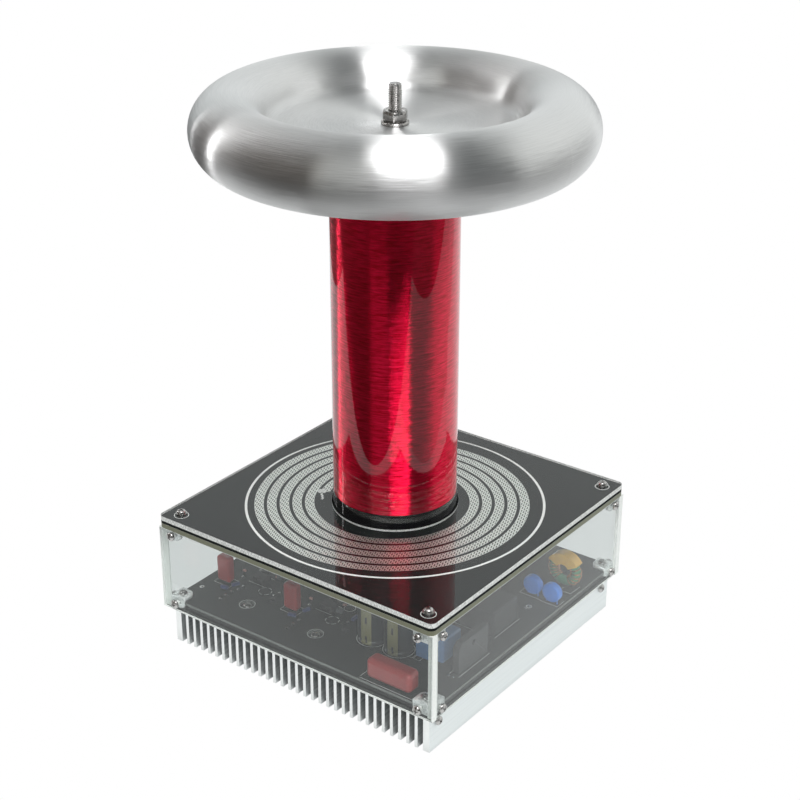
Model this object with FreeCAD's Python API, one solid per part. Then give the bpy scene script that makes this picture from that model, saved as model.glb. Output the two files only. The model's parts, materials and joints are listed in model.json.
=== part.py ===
import FreeCAD, Part
import math
import os

# Desktop resonant transformer: a finned aluminium base, a clear case with the power electronics,
# a flat printed primary coil under a clear cover, an upright wound secondary coil, and a spun
# aluminium toroid clamped on a stud by a nut. Millimetres, +Z up, the floor at z = 0 and the
# origin under the coil's own axis. -Y is the front, where the fins' ends show.

# Heat sink, an extrusion whose fins hang down to the table
sink_inset = 5.0
sink_height = 25.0
sink_base = 3.8
fin_thickness = 2.1
end_wall_thickness = 4.5
fin_gap_count = 32
side_screw_inset = 8.5
side_screw_height = 17.8
side_screw_length = 4.0

# Clear case
case_width = 206.0
panel_thickness = 5.0
panel_height = 57.0
panel_lift = 0.2
plate_corner_radius = 4.0
lower_plate_thickness = 3.0
cover_thickness = 3.0

# Circuit boards
board_thickness = 1.6
board_edge_gap = 0.3
primary_board_thickness = 1.6
trace_thickness = 0.2

# Small screws of the case and the board
screw_radius = 1.5
screw_head_radius = 2.8
screw_head_height = 2.1
screw_head_chamfer = 0.6
clear_hole_radius = 1.7
thread_clearance = 0.05
drill_spare = 0.4
case_screw_length = 12.0
small_washer_radius = 3.5
small_washer_thickness = 0.5
spacer_radius = 3.0

# Three-way corner brackets
bracket_reach = 10.2
bracket_wall = 2.0
bracket_plate = 2.4
bracket_drop = 7.6
bracket_round = 3.6
bracket_hole_inset = 5.0
bracket_hole_drop = 4.0
notch_clearance = 0.3

# Flat primary coil, from beside the secondary's foot to a share of the plate's half width
primary_gap_to_tube = 8.0
primary_outer_share = 0.8175
primary_track_share = 0.8077
primary_half_turns = 10
primary_tail_angle = 75.0
primary_start_angle = -158.0

# Secondary coil
tube_radius = 37.2
tube_wall = 2.0
winding_thickness = 0.8
collar_thickness = 1.1
collar_height = 9.0
bare_tube_top = 8.0
cover_hole_clearance = 0.9
plug_clearance = 0.1
base_plug_height = 12.0
base_screw_radius = 2.0
base_screw_head_radius = 4.0
base_screw_head_height = 2.8
base_screw_length = 14.0
base_screw_circle = 22.0
base_screw_count = 3
cap_flange_thickness = 3.0
cap_spigot_height = 10.0

# Toroid, two spun halves back to back
toroid_radius = 94.2
toroid_section_radius = 21.8
sheet_thickness = 1.2
toroid_fillet = 8.0
toroid_centre_height = 327.8

# Stud, nuts and washers of the top
stud_radius = 4.0
stud_length = 50.0
stud_chamfer = 0.8
stud_stand_out = 23.3
nut_across_flats = 13.0
nut_height = 6.5
nut_clearance = 0.06
nut_chamfer = 0.6
washer_radius = 8.0
washer_thickness = 1.6
washer_clearance = 0.2

# Power transistors, flat on the sink under the board
pad_thickness = 0.3
pad_margin = 1.0
transistor_length = 21.0
transistor_width = 16.0
transistor_thickness = 5.0
transistor_hole_inset = 6.2
transistor_chamfer = 1.0
transistor_lead_width = 1.2
transistor_lead_reach = 3.0
transistor_lead_pitch = 5.45
transistor_lead_thickness = 0.6
lead_stand_out = 0.6
transistor_screw_length = 8.5
left_transistor_offsets = ((42.7, 22.0),)
middle_transistor_offsets = ((-0.6, 21.7),)
access_hole_radius = 4.5

# Parts on the main board. Offsets (x, y) are from the walls or centre lines named further down.
lead_radius = 0.4
lead_lift = 1.0
can_radius = 9.0
can_height = 36.0
can_round = 1.2
can_groove_depth = 0.7
can_groove_height = 3.0
can_rim = 1.1
can_recess = 0.4
can_offsets = ((-68.2, 38.6), (-48.7, 38.6))

film_length = 10.5
film_depth = 6.5
film_height = 18.8
film_round = 2.2
left_film_offsets = ((14.0, 34.8),)
middle_film_offsets = ((-29.2, 34.5),)

big_film_length = 32.0
big_film_depth = 10.8
big_film_height = 14.3
big_film_round = 3.4
big_film_offsets = ((-30.0, 7.7),)

relay_length = 15.5
relay_width = 19.0
relay_height = 15.3
relay_chamfer = 0.8
relay_offsets = ((-29.6, 48.5),)

bridge_length = 30.0
bridge_thickness = 4.6
bridge_height = 20.0
bridge_chamfer = 3.0
bridge_hole_radius = 1.6
bridge_hole_drop = 5.0
bridge_lead_count = 4
bridge_lead_pitch = 7.5
bridge_lead_width = 1.1
bridge_offsets = ((-9.2, 49.0),)

supply_length = 27.0
supply_width = 25.0
supply_height = 16.0
supply_chamfer = 1.0
supply_offsets = ((-26.6, -4.5),)

varistor_radius = 6.4
varistor_thickness = 5.0
varistor_round = 1.4
varistor_lead_pitch = 7.5
varistor_offsets = ((-21.8, 37.7), (-7.3, 36.7))

choke_offsets = ((-12.8, 60.0),)
choke_radius = 8.2
choke_core_radius = 2.8
choke_wire_radius = 0.45
choke_wire_clearance = 0.15
choke_turns = 5
choke_winding_angle = 84.0
choke_winding_drop = 22.0
gap_samples_per_turn = 48
tape_angle = 120.0
tape_wall = 0.8

chip_length = 9.6
chip_width = 6.4
chip_height = 3.4
chip_lift = 0.6
chip_lead_count = 4
chip_lead_pitch = 2.4
chip_lead_width = 0.6
chip_notch_radius = 0.8
left_chip_offsets = ((31.3, 48.8),)
middle_chip_offsets = ((-12.2, 48.8),)

post_radius = 3.2
post_spots = ((-44.0, -12.0), (-52.0, 66.0))
feedback_radius = 12.0
feedback_hole_radius = 5.5
feedback_height = 9.0
feedback_chamfer = 1.2

# Mains inlet in the back wall
inlet_centre = (34.0, 57.0)
inlet_flange_width = 31.0
inlet_flange_height = 25.0
inlet_flange_thickness = 2.5
inlet_flange_round = 3.0
inlet_body_width = 27.0
inlet_body_height = 19.6
inlet_body_depth = 16.0
inlet_recess_width = 24.4
inlet_recess_height = 16.4
inlet_recess_chamfer = 4.2
inlet_recess_depth = 15.0
inlet_cutout_gap = 0.3
inlet_pin_width = 4.0
inlet_pin_thickness = 2.0
inlet_pin_length = 9.0
inlet_pin_tail = 6.0
inlet_pin_spacing = 7.0
inlet_pin_drop = 1.9
inlet_earth_rise = 2.1

# One overrun for every cut
overrun = 1.0

# Heights and places that follow from the sizes above
board_gap = pad_thickness + transistor_thickness
sink_top = sink_height
board_bottom = sink_top + board_gap
board_top = board_bottom + board_thickness
panel_bottom = sink_top + panel_lift
panel_top = panel_bottom + panel_height
lower_plate_top = panel_top + lower_plate_thickness
primary_top = lower_plate_top + primary_board_thickness
trace_top = primary_top + trace_thickness
cover_top = trace_top + cover_thickness
case_half = case_width / 2
inner_half = case_half - panel_thickness
sink_width = case_width - 2 * sink_inset
corner_spot = inner_half - bracket_hole_inset
lower_bracket_top = board_top + bracket_plate
web_bottom = toroid_centre_height - sheet_thickness
web_top = toroid_centre_height + sheet_thickness
cap_underside = web_bottom - cap_flange_thickness
collar_top = cover_top + collar_height
winding_top = cap_underside - bare_tube_top
nut_bottom = web_top + washer_thickness
stud_top = web_top + stud_stand_out
stud_bottom = stud_top - stud_length
spigot_bottom = cap_underside - cap_spigot_height

primary_start_radius = tube_radius + primary_gap_to_tube
primary_pitch = 2 * (case_half * primary_outer_share - primary_start_radius) / primary_half_turns
primary_track_width = primary_pitch * primary_track_share


def board_spots(offsets, side_x, side_y):
    """Places on the main board, measured from a wall, or from the centre line where the side is 0."""
    return [(side_x * inner_half + x, side_y * inner_half + y) for x, y in offsets]


transistor_spots = board_spots(left_transistor_offsets, -1, -1)
transistor_spots += board_spots(middle_transistor_offsets, 0, -1)
can_spots = board_spots(can_offsets, 1, -1)
film_spots = board_spots(left_film_offsets, -1, -1)
film_spots += board_spots(middle_film_offsets, 0, -1)
big_film_spot, = board_spots(big_film_offsets, 1, -1)
relay_spot, = board_spots(relay_offsets, 1, -1)
bridge_spot, = board_spots(bridge_offsets, 1, -1)
supply_spot, = board_spots(supply_offsets, 1, 0)
varistor_spots = board_spots(varistor_offsets, 1, 0)
choke_spot, = board_spots(choke_offsets, 1, 0)
chip_spots = board_spots(left_chip_offsets, -1, -1)
chip_spots += board_spots(middle_chip_offsets, 0, -1)

X = FreeCAD.Vector(1, 0, 0)
Y = FreeCAD.Vector(0, 1, 0)
Z = FreeCAD.Vector(0, 0, 1)


def at(x, y, z):
    return FreeCAD.Vector(x, y, z)


def block(x0, x1, y0, y1, z0, z1):
    """A box between two corners."""
    return Part.makeBox(x1 - x0, y1 - y0, z1 - z0, at(x0, y0, z0))


def rod(radius, start, direction, length):
    """A round bar from a point along a direction."""
    return Part.makeCylinder(radius, length, start, direction)


def group(solids):
    """Separate solids kept together in one node."""
    return Part.makeCompound(solids)


def edges_along(shape, direction):
    """The straight edges that run along a direction."""
    chosen = []
    for edge in shape.Edges:
        start, end = edge.firstVertex().Point, edge.lastVertex().Point
        run = end - start
        if run.Length > 0 and abs(abs(run.normalize().dot(direction)) - 1) < 1e-6:
            chosen.append(edge)
    return chosen


def top_edges(shape):
    """The edges that lie in the highest plane of a shape."""
    high = shape.BoundBox.ZMax
    near = shape.BoundBox.DiagonalLength * 1e-6
    return [edge for edge in shape.Edges if high - edge.BoundBox.ZMin < near]


def edge_at(shape, direction, place):
    """The straight edge along a direction with an end nearest to a place."""
    def reach(edge):
        return min((vertex.Point - place).Length for vertex in edge.Vertexes)

    return min(edges_along(shape, direction), key=reach)


def rounded_sheet(half, z0, z1, radius):
    """A square sheet with rounded corners."""
    sheet = block(-half, half, -half, half, z0, z1)
    return sheet.makeFillet(radius, edges_along(sheet, Z))


def corner_spots(distance):
    """The four places at the same distance from both centre lines."""
    return [(sx * distance, sy * distance) for sx in (1, -1) for sy in (1, -1)]


def drill(shape, spots, radius, z0, z1):
    """Cut upright holes through a shape at several places."""
    for x, y in spots:
        shape = shape.cut(rod(radius, at(x, y, z0 - overrun), Z, z1 - z0 + 2 * overrun))
    return shape


def blind_holes(shape, spots, radius, mouth, end):
    """Cut upright holes that open at one height and stop at another."""
    outward = Z if mouth > end else Z * -1
    for x, y in spots:
        shape = shape.cut(rod(radius, at(x, y, end), outward, abs(mouth - end) + overrun))
    return shape


def around(shape, count):
    """Copies of a shape in even steps about the Z axis."""
    copies = []
    for index in range(count):
        copy = shape.copy()
        copy.rotate(at(0, 0, 0), Z, index * 360 / count)
        copies.append(copy)
    return copies


def mirrored_corners(shape):
    """A shape of the +X +Y corner and its three mirror images."""
    left = shape.mirror(at(0, 0, 0), X)
    return [shape, left, shape.mirror(at(0, 0, 0), Y), left.mirror(at(0, 0, 0), Y)]


def pan_screw(radius, head_radius, head_height, length):
    """A pan head screw whose seat is at the origin and whose shank points down."""
    head = rod(head_radius, at(0, 0, 0), Z, head_height)
    head = head.makeChamfer(screw_head_chamfer, top_edges(head))
    return head.fuse(rod(radius, at(0, 0, -length), Z, length)).removeSplitter()


def aimed(shape, direction, place):
    """Turn a shape's +Z to a direction and move its origin to a place."""
    turned = shape.copy()
    turned.Placement = FreeCAD.Placement(place, FreeCAD.Rotation(Z, direction))
    return turned


def ring(inner, outer, z0, z1):
    """An upright tube about the coil's axis."""
    wide = rod(outer, at(0, 0, z0), Z, z1 - z0)
    return wide.cut(rod(inner, at(0, 0, z0 - overrun), Z, z1 - z0 + 2 * overrun))


def hex_nut(bore_radius, z0):
    """A plain hexagon nut about the coil's axis, its corners turned down at both faces."""
    corner = nut_across_flats / math.sqrt(3)
    points = [at(corner * math.cos(math.radians(a)), corner * math.sin(math.radians(a)), z0)
              for a in range(0, 361, 60)]
    nut = Part.Face(Part.makePolygon(points)).extrude(Z * nut_height)
    half = nut_across_flats / 2
    z1 = z0 + nut_height
    outline = [at(0, 0, z0), at(half, 0, z0), at(corner, 0, z0 + nut_chamfer),
               at(corner, 0, z1 - nut_chamfer), at(half, 0, z1), at(0, 0, z1), at(0, 0, z0)]
    turned = Part.Face(Part.makePolygon(outline)).revolve(at(0, 0, 0), Z, 360)
    return nut.common(turned).cut(rod(bore_radius, at(0, 0, z0 - overrun), Z, nut_height + 2 * overrun))


def make_heat_sink():
    """One comb-shaped outline, drawn across the fins and pushed along them."""
    half = sink_width / 2
    fin_count = fin_gap_count - 1
    gap = (sink_width - 2 * end_wall_thickness - fin_count * fin_thickness) / fin_gap_count
    root = sink_height - sink_base
    outline = [at(-half, 0, sink_height), at(-half, 0, 0)]
    x = -half + end_wall_thickness
    for index in range(fin_gap_count):
        outline += [at(x, 0, 0), at(x, 0, root), at(x + gap, 0, root), at(x + gap, 0, 0)]
        x += gap + fin_thickness
    outline += [at(half, 0, 0), at(half, 0, sink_height), at(-half, 0, sink_height)]
    sink = Part.Face(Part.makePolygon(outline)).extrude(Y * sink_width)
    sink.translate(at(0, -half, 0))
    tapped = screw_radius + thread_clearance
    corner_end = lower_bracket_top - case_screw_length - drill_spare
    sink = blind_holes(sink, corner_spots(corner_spot), tapped, sink_top, corner_end)
    transistor_end = board_bottom - transistor_screw_length - drill_spare
    sink = blind_holes(sink, transistor_spots, tapped, sink_top, transistor_end)
    for side in (1, -1):
        for y in side_screw_rows():
            sink = sink.cut(rod(tapped, at(side * (half + overrun), y, side_screw_height), X * -side,
                                side_screw_length + drill_spare + overrun))
    return sink


def side_screw_rows():
    """Where the sink's side screws sit along Y."""
    row = sink_width / 2 - side_screw_inset
    return (row, -row)


def make_heat_sink_side_screws():
    screw = pan_screw(screw_radius, screw_head_radius, screw_head_height, side_screw_length)
    return group([aimed(screw, X * side, at(side * sink_width / 2, y, side_screw_height))
                  for side in (1, -1) for y in side_screw_rows()])


def transistor_body_span(x):
    """A transistor's ends along X: its hole is near the +X end."""
    end = x + transistor_hole_inset
    return end - transistor_length, end


def make_thermal_pads():
    pads = []
    for x, y in transistor_spots:
        x0, x1 = transistor_body_span(x)
        half = transistor_width / 2 + pad_margin
        z1 = sink_top + pad_thickness
        pad = block(x0 - pad_margin, x1 + pad_margin, y - half, y + half, sink_top, z1)
        pads.append(drill(pad, [(x, y)], clear_hole_radius, sink_top, z1))
    return group(pads)


def make_power_transistors():
    """Flat moulded bodies with three leads that turn up through the board."""
    z0 = sink_top + pad_thickness
    z1 = z0 + transistor_thickness
    lead_z = (z0 + z1) / 2
    parts = []
    for x, y in transistor_spots:
        x0, x1 = transistor_body_span(x)
        half = transistor_width / 2
        body = block(x0, x1, y - half, y + half, z0, z1)
        body = body.makeChamfer(transistor_chamfer, top_edges(body))
        for step in (-1, 0, 1):
            lead_y = y + step * transistor_lead_pitch
            y0, y1 = lead_y - transistor_lead_width / 2, lead_y + transistor_lead_width / 2
            out = x0 - transistor_lead_reach
            flat = block(out, x0, y0, y1, lead_z, lead_z + transistor_lead_thickness)
            rise = block(out, out + transistor_lead_thickness, y0, y1, lead_z, board_top + lead_stand_out)
            body = body.fuse([flat, rise])
        parts.append(drill(body.removeSplitter(), [(x, y)], clear_hole_radius, z0, z1))
    return group(parts)


def make_transistor_screws():
    screw = pan_screw(screw_radius, screw_head_radius, screw_head_height, transistor_screw_length)
    return group([aimed(screw, Z, at(x, y, board_bottom)) for x, y in transistor_spots])


def make_board_spacers():
    parts = []
    for x, y in corner_spots(corner_spot):
        spacer = rod(spacer_radius, at(x, y, sink_top), Z, board_gap)
        parts.append(drill(spacer, [(x, y)], clear_hole_radius, sink_top, board_bottom))
    return group(parts)


def lead_holes():
    """Every place where a part's lead passes through the main board."""
    spots = []
    for x, y in transistor_spots:
        out = transistor_body_span(x)[0] - transistor_lead_reach + transistor_lead_thickness / 2
        spots += [(out, y + step * transistor_lead_pitch) for step in (-1, 0, 1)]
    return spots


def make_main_board():
    """The board, its corners stepped back for the brackets' hanging tabs."""
    half = inner_half - board_edge_gap
    board = block(-half, half, -half, half, board_bottom, board_top)
    step = inner_half - bracket_wall - notch_clearance
    start = inner_half - bracket_reach - notch_clearance
    low, high = board_bottom - overrun, board_top + overrun
    outer = half + overrun
    notch = block(step, outer, start, outer, low, high).fuse(block(start, outer, step, outer, low, high))
    for cut in mirrored_corners(notch):
        board = board.cut(cut)
    board = drill(board, corner_spots(corner_spot), clear_hole_radius, board_bottom, board_top)
    board = drill(board, transistor_spots, access_hole_radius, board_bottom, board_top)
    return drill(board, lead_holes(), transistor_lead_width, board_bottom, board_top)


def bracket(plate_top, screw_hole_radius):
    """A three-way corner bracket in the +X +Y corner, its plate on top and two tabs hanging."""
    wall = inner_half
    far = wall - bracket_reach
    low = plate_top - bracket_drop
    plate = block(far, wall, far, wall, plate_top - bracket_plate, plate_top)
    plate = plate.makeFillet(bracket_round, [edge_at(plate, Z, at(far, far, plate_top))])
    tab = block(wall - bracket_wall, wall, far, wall, low, plate_top)
    tab = tab.makeFillet(bracket_round, [edge_at(tab, X, at(wall, far, low))])
    other = tab.mirror(at(0, 0, 0), (X - Y).normalize())
    whole = plate.fuse([tab, other]).removeSplitter()
    height = plate_top - bracket_hole_drop
    deep = bracket_wall + 2 * overrun
    spot = corner_spot
    tapped = screw_radius + thread_clearance
    whole = whole.cut(rod(tapped, at(wall - bracket_wall - overrun, spot, height), X, deep))
    whole = whole.cut(rod(tapped, at(spot, wall - bracket_wall - overrun, height), Y, deep))
    return drill(whole, [(spot, spot)], screw_hole_radius, plate_top - bracket_plate, plate_top)


def make_bottom_brackets():
    return group(mirrored_corners(bracket(lower_bracket_top, clear_hole_radius)))


def make_bottom_bracket_screws():
    screw = pan_screw(screw_radius, screw_head_radius, screw_head_height, case_screw_length)
    return group([aimed(screw, Z, at(x, y, lower_bracket_top)) for x, y in corner_spots(corner_spot)])


def make_top_brackets():
    return group(mirrored_corners(bracket(panel_top, screw_radius + thread_clearance)))


def panel_screw_heights():
    return (lower_bracket_top - bracket_hole_drop, panel_top - bracket_hole_drop)


def wall_panel(length, cuts):
    """An upright sheet along X whose outer face is at y = -case_half, with its screw holes."""
    half = length / 2
    panel = block(-half, half, -case_half, -inner_half, panel_bottom, panel_top)
    for z in panel_screw_heights():
        for x in (corner_spot, -corner_spot):
            panel = panel.cut(rod(clear_hole_radius, at(x, -case_half - overrun, z), Y,
                                  panel_thickness + 2 * overrun))
    return panel.cut(cuts) if cuts else panel


def turned_about_z(shape, angle):
    turned = shape.copy()
    turned.rotate(at(0, 0, 0), Z, angle)
    return turned


def make_front_panel():
    return wall_panel(case_width, None)


def make_back_panel():
    panel = turned_about_z(wall_panel(case_width, None), 180)
    x, z = inlet_centre
    half_x = inlet_body_width / 2 + inlet_cutout_gap
    half_z = inlet_body_height / 2 + inlet_cutout_gap
    return panel.cut(block(x - half_x, x + half_x, inner_half - overrun, case_half + overrun,
                           z - half_z, z + half_z))


def make_right_panel():
    return turned_about_z(wall_panel(2 * inner_half, None), 90)


def make_left_panel():
    return turned_about_z(wall_panel(2 * inner_half, None), -90)


def make_panel_screws():
    screw = pan_screw(screw_radius, screw_head_radius, screw_head_height, panel_thickness + bracket_wall)
    one_wall = [aimed(screw, Y * -1, at(x, -case_half, z))
                for z in panel_screw_heights() for x in (corner_spot, -corner_spot)]
    return group([copy for part in one_wall for copy in around(part, 4)])


def make_lower_plate():
    plate = rounded_sheet(case_half, panel_top, lower_plate_top, plate_corner_radius)
    plate = drill(plate, corner_spots(corner_spot), clear_hole_radius, panel_top, lower_plate_top)
    screw_hole = base_screw_radius + plug_clearance
    plate = drill(plate, base_screw_spots(), screw_hole, panel_top, lower_plate_top)
    return drill(plate, post_spots, post_radius + plug_clearance, panel_top, lower_plate_top)


def make_primary_board():
    board = rounded_sheet(case_half, lower_plate_top, primary_top, plate_corner_radius)
    board = drill(board, corner_spots(corner_spot), clear_hole_radius, lower_plate_top, primary_top)
    screw_hole = base_screw_radius + plug_clearance
    return drill(board, base_screw_spots(), screw_hole, lower_plate_top, primary_top)


def spiral_edge(offset):
    """Half-turn arcs on two centres, so that the radius grows by half a pitch each time."""
    edges = []
    radius = primary_start_radius + primary_pitch / 4 + offset
    centre = -primary_pitch / 4
    begin = 0
    for index in range(primary_half_turns + 1):
        sweep = 180 if index < primary_half_turns else primary_tail_angle

        def point(angle):
            turn = begin - math.radians(angle)
            return at(centre + radius * math.cos(turn), radius * math.sin(turn), primary_top)

        edges.append(Part.Arc(point(0), point(sweep / 2), point(sweep)).toShape())
        end = point(sweep)
        radius += primary_pitch / 2
        centre = -centre
        begin += math.pi
    return edges, end


def make_primary_spiral():
    """A flat wound track: its two edges are the same spiral set apart by the track's width."""
    half = primary_track_width / 2
    inner, inner_end = spiral_edge(-half)
    outer, outer_end = spiral_edge(half)
    first = at(primary_start_radius - half, 0, primary_top)
    last = at(primary_start_radius + half, 0, primary_top)
    nose = Part.Arc(first, at(primary_start_radius, half, primary_top), last).toShape()
    tail = Part.LineSegment(inner_end, outer_end).toShape()
    wire = Part.Wire(Part.__sortEdges__(inner + outer + [nose, tail]))
    track = Part.Face(wire).extrude(Z * trace_thickness)
    return turned_about_z(track, primary_start_angle)


def make_top_cover():
    cover = rounded_sheet(case_half, trace_top, cover_top, plate_corner_radius)
    cover = drill(cover, corner_spots(corner_spot), clear_hole_radius, trace_top, cover_top)
    hole = tube_radius + collar_thickness + cover_hole_clearance
    return drill(cover, [(0, 0)], hole, trace_top, cover_top)


def make_cover_washers():
    z1 = cover_top + small_washer_thickness
    parts = []
    for x, y in corner_spots(corner_spot):
        washer = rod(small_washer_radius, at(x, y, cover_top), Z, small_washer_thickness)
        parts.append(drill(washer, [(x, y)], clear_hole_radius, cover_top, z1))
    return group(parts)


def make_cover_screws():
    screw = pan_screw(screw_radius, screw_head_radius, screw_head_height, case_screw_length)
    seat = cover_top + small_washer_thickness
    return group([aimed(screw, Z, at(x, y, seat)) for x, y in corner_spots(corner_spot)])


def base_screw_spots():
    steps = range(base_screw_count)
    turns = [math.radians(90 + index * 360 / base_screw_count) for index in steps]
    return [(base_screw_circle * math.cos(t), base_screw_circle * math.sin(t)) for t in turns]


def make_coil_tube():
    return ring(tube_radius - tube_wall, tube_radius, primary_top, cap_underside)


def make_coil_winding():
    """The close layer of fine enamelled wire under its varnish, smooth to the eye and the hand."""
    return ring(tube_radius, tube_radius + winding_thickness, collar_top, winding_top)


def make_coil_collar():
    return ring(tube_radius, tube_radius + collar_thickness, primary_top, collar_top)


def make_coil_base_plug():
    plug = rod(tube_radius - tube_wall - plug_clearance, at(0, 0, primary_top), Z, base_plug_height)
    end = panel_top + base_screw_length + drill_spare
    return blind_holes(plug, base_screw_spots(), base_screw_radius + thread_clearance, primary_top, end)


def make_coil_base_screws():
    screw = pan_screw(base_screw_radius, base_screw_head_radius, base_screw_head_height, base_screw_length)
    return group([aimed(screw, Z * -1, at(x, y, panel_top)) for x, y in base_screw_spots()])


def make_coil_top_cap():
    """A flanged plug that closes the tube and carries the stud."""
    bore = stud_radius + nut_clearance
    flange_radius = tube_radius + winding_thickness
    spigot_radius = tube_radius - tube_wall - plug_clearance
    flange = rod(flange_radius, at(0, 0, cap_underside), Z, cap_flange_thickness)
    spigot = rod(spigot_radius, at(0, 0, spigot_bottom), Z, cap_spigot_height)
    return drill(flange.fuse(spigot).removeSplitter(), [(0, 0)], bore, spigot_bottom, web_bottom)


def make_stud():
    stud = rod(stud_radius, at(0, 0, stud_bottom), Z, stud_length)
    return stud.makeChamfer(stud_chamfer, [edge for edge in stud.Edges if edge.Closed])


def make_stud_lock_washer():
    low = spigot_bottom - washer_thickness
    return ring(stud_radius + washer_clearance, washer_radius, low, spigot_bottom)


def make_stud_lock_nut():
    return hex_nut(stud_radius + nut_clearance, spigot_bottom - washer_thickness - nut_height)


def sheet_line(gauge):
    """One face of the upper half's sheet as edges, from the bore out to the rim.

    gauge is how far the face stands off the joint plane: nothing inside, one sheet outside.
    """
    section = toroid_section_radius - sheet_thickness + gauge
    fillet = toroid_fillet + sheet_thickness - gauge
    lift = toroid_fillet + sheet_thickness
    reach = toroid_section_radius + toroid_fillet
    fillet_x = toroid_radius - math.sqrt(reach ** 2 - lift ** 2)
    bore = stud_radius + washer_clearance
    share = section / reach
    touch = at(toroid_radius - share * (toroid_radius - fillet_x), 0, share * lift)
    turn = math.atan2(-lift, toroid_radius - fillet_x)
    middle = (turn - math.pi / 2) / 2
    fillet_middle = at(fillet_x + fillet * math.cos(middle), 0, lift + fillet * math.sin(middle))
    flat_end = at(fillet_x, 0, gauge)
    rim = at(toroid_radius + section, 0, 0)
    crown = at(toroid_radius, 0, section)
    edges = [Part.LineSegment(at(bore, 0, gauge), flat_end).toShape(),
             Part.Arc(flat_end, fillet_middle, touch).toShape(),
             Part.Arc(touch, crown, rim).toShape()]
    return edges, at(bore, 0, gauge), rim


def toroid_half():
    """A disc whose edge is spun up and over into half a ring."""
    inside, inside_bore, inside_rim = sheet_line(0)
    outside, outside_bore, outside_rim = sheet_line(sheet_thickness)
    ends = [Part.LineSegment(inside_bore, outside_bore).toShape(),
            Part.LineSegment(inside_rim, outside_rim).toShape()]
    wire = Part.Wire(Part.__sortEdges__(inside + outside + ends))
    return Part.Face(wire).revolve(at(0, 0, 0), Z, 360)


def make_toroid_upper_shell():
    half = toroid_half()
    half.translate(Z * toroid_centre_height)
    return half


def make_toroid_lower_shell():
    half = toroid_half().mirror(at(0, 0, 0), Z)
    half.translate(Z * toroid_centre_height)
    return half


def make_top_washer():
    return ring(stud_radius + washer_clearance, washer_radius, web_top, nut_bottom)


def make_top_nut():
    return hex_nut(stud_radius + nut_clearance, nut_bottom)


def board_leads(x, y, pitch, along, top):
    """Two round leads from a part down to the board."""
    offsets = (pitch / 2, -pitch / 2)
    return [rod(lead_radius, at(x, y, board_top) + along * offset, Z, top - board_top)
            for offset in offsets]


def make_electrolytic_capacitors():
    """Sleeved cans with the crimp groove near the foot and the rolled rim at the top."""
    z0 = board_top
    z1 = z0 + can_height
    groove = z0 + can_groove_height
    rim = can_radius - can_rim
    outline = Part.Wire([
        Part.LineSegment(at(0, 0, z0), at(can_radius, 0, z0)).toShape(),
        Part.LineSegment(at(can_radius, 0, z0), at(can_radius, 0, groove - can_round)).toShape(),
        Part.Arc(at(can_radius, 0, groove - can_round), at(can_radius - can_groove_depth, 0, groove),
                 at(can_radius, 0, groove + can_round)).toShape(),
        Part.LineSegment(at(can_radius, 0, groove + can_round), at(can_radius, 0, z1 - can_rim)).toShape(),
        Part.LineSegment(at(can_radius, 0, z1 - can_rim), at(rim, 0, z1)).toShape(),
        Part.LineSegment(at(rim, 0, z1), at(rim - can_recess, 0, z1 - can_recess)).toShape(),
        Part.LineSegment(at(rim - can_recess, 0, z1 - can_recess), at(0, 0, z1 - can_recess)).toShape(),
        Part.LineSegment(at(0, 0, z1 - can_recess), at(0, 0, z0)).toShape()])
    can = Part.Face(outline).revolve(at(0, 0, 0), Z, 360)
    return group([aimed(can, Z, at(x, y, 0)) for x, y in can_spots])


def dipped_body(length, depth, height, radius, spot):
    """A dipped capacitor: a rounded block a little above the board on two leads."""
    x, y = spot
    z0 = board_top + lead_lift
    z1 = board_top + height
    body = block(x - length / 2, x + length / 2, y - depth / 2, y + depth / 2, z0, z1)
    body = body.makeFillet(radius, body.Edges)
    return body.fuse(board_leads(x, y, length - 2 * radius, X, z0 + radius)).removeSplitter()


def make_film_capacitors():
    return group([dipped_body(film_length, film_depth, film_height, film_round, spot)
                  for spot in film_spots])


def make_large_film_capacitor():
    return dipped_body(big_film_length, big_film_depth, big_film_height, big_film_round,
                       big_film_spot)


def chamfered_box(length, width, height, chamfer, spot):
    """A moulded box on the board with its upper edges and corners eased."""
    x, y = spot
    z1 = board_top + height
    box = block(x - length / 2, x + length / 2, y - width / 2, y + width / 2, board_top, z1)
    return box.makeChamfer(chamfer, edges_along(box, Z) + top_edges(box))


def make_relay():
    return chamfered_box(relay_length, relay_width, relay_height, relay_chamfer, relay_spot)


def make_auxiliary_supply():
    return chamfered_box(supply_width, supply_length, supply_height, supply_chamfer, supply_spot)


def make_bridge_rectifier():
    """A flat upright body with one cut corner, a fixing hole and four flat leads."""
    x, y = bridge_spot
    z0 = board_top + lead_lift
    z1 = z0 + bridge_height
    half = bridge_length / 2
    face_x = x - bridge_thickness / 2
    outline = [at(face_x, y - half, z0), at(face_x, y + half, z0), at(face_x, y + half, z1),
               at(face_x, y - half + bridge_chamfer, z1), at(face_x, y - half, z1 - bridge_chamfer),
               at(face_x, y - half, z0)]
    body = Part.Face(Part.makePolygon(outline)).extrude(X * bridge_thickness)
    hole = rod(bridge_hole_radius, at(face_x - overrun, y, z1 - bridge_hole_drop), X,
               bridge_thickness + 2 * overrun)
    body = body.cut(hole)
    lead_half = bridge_lead_width / 2
    for index in range(bridge_lead_count):
        lead_y = y + (index - (bridge_lead_count - 1) / 2) * bridge_lead_pitch
        body = body.fuse(block(x - lead_half, x + lead_half, lead_y - lead_half, lead_y + lead_half,
                               board_top, z0))
    return body.removeSplitter()


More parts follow.
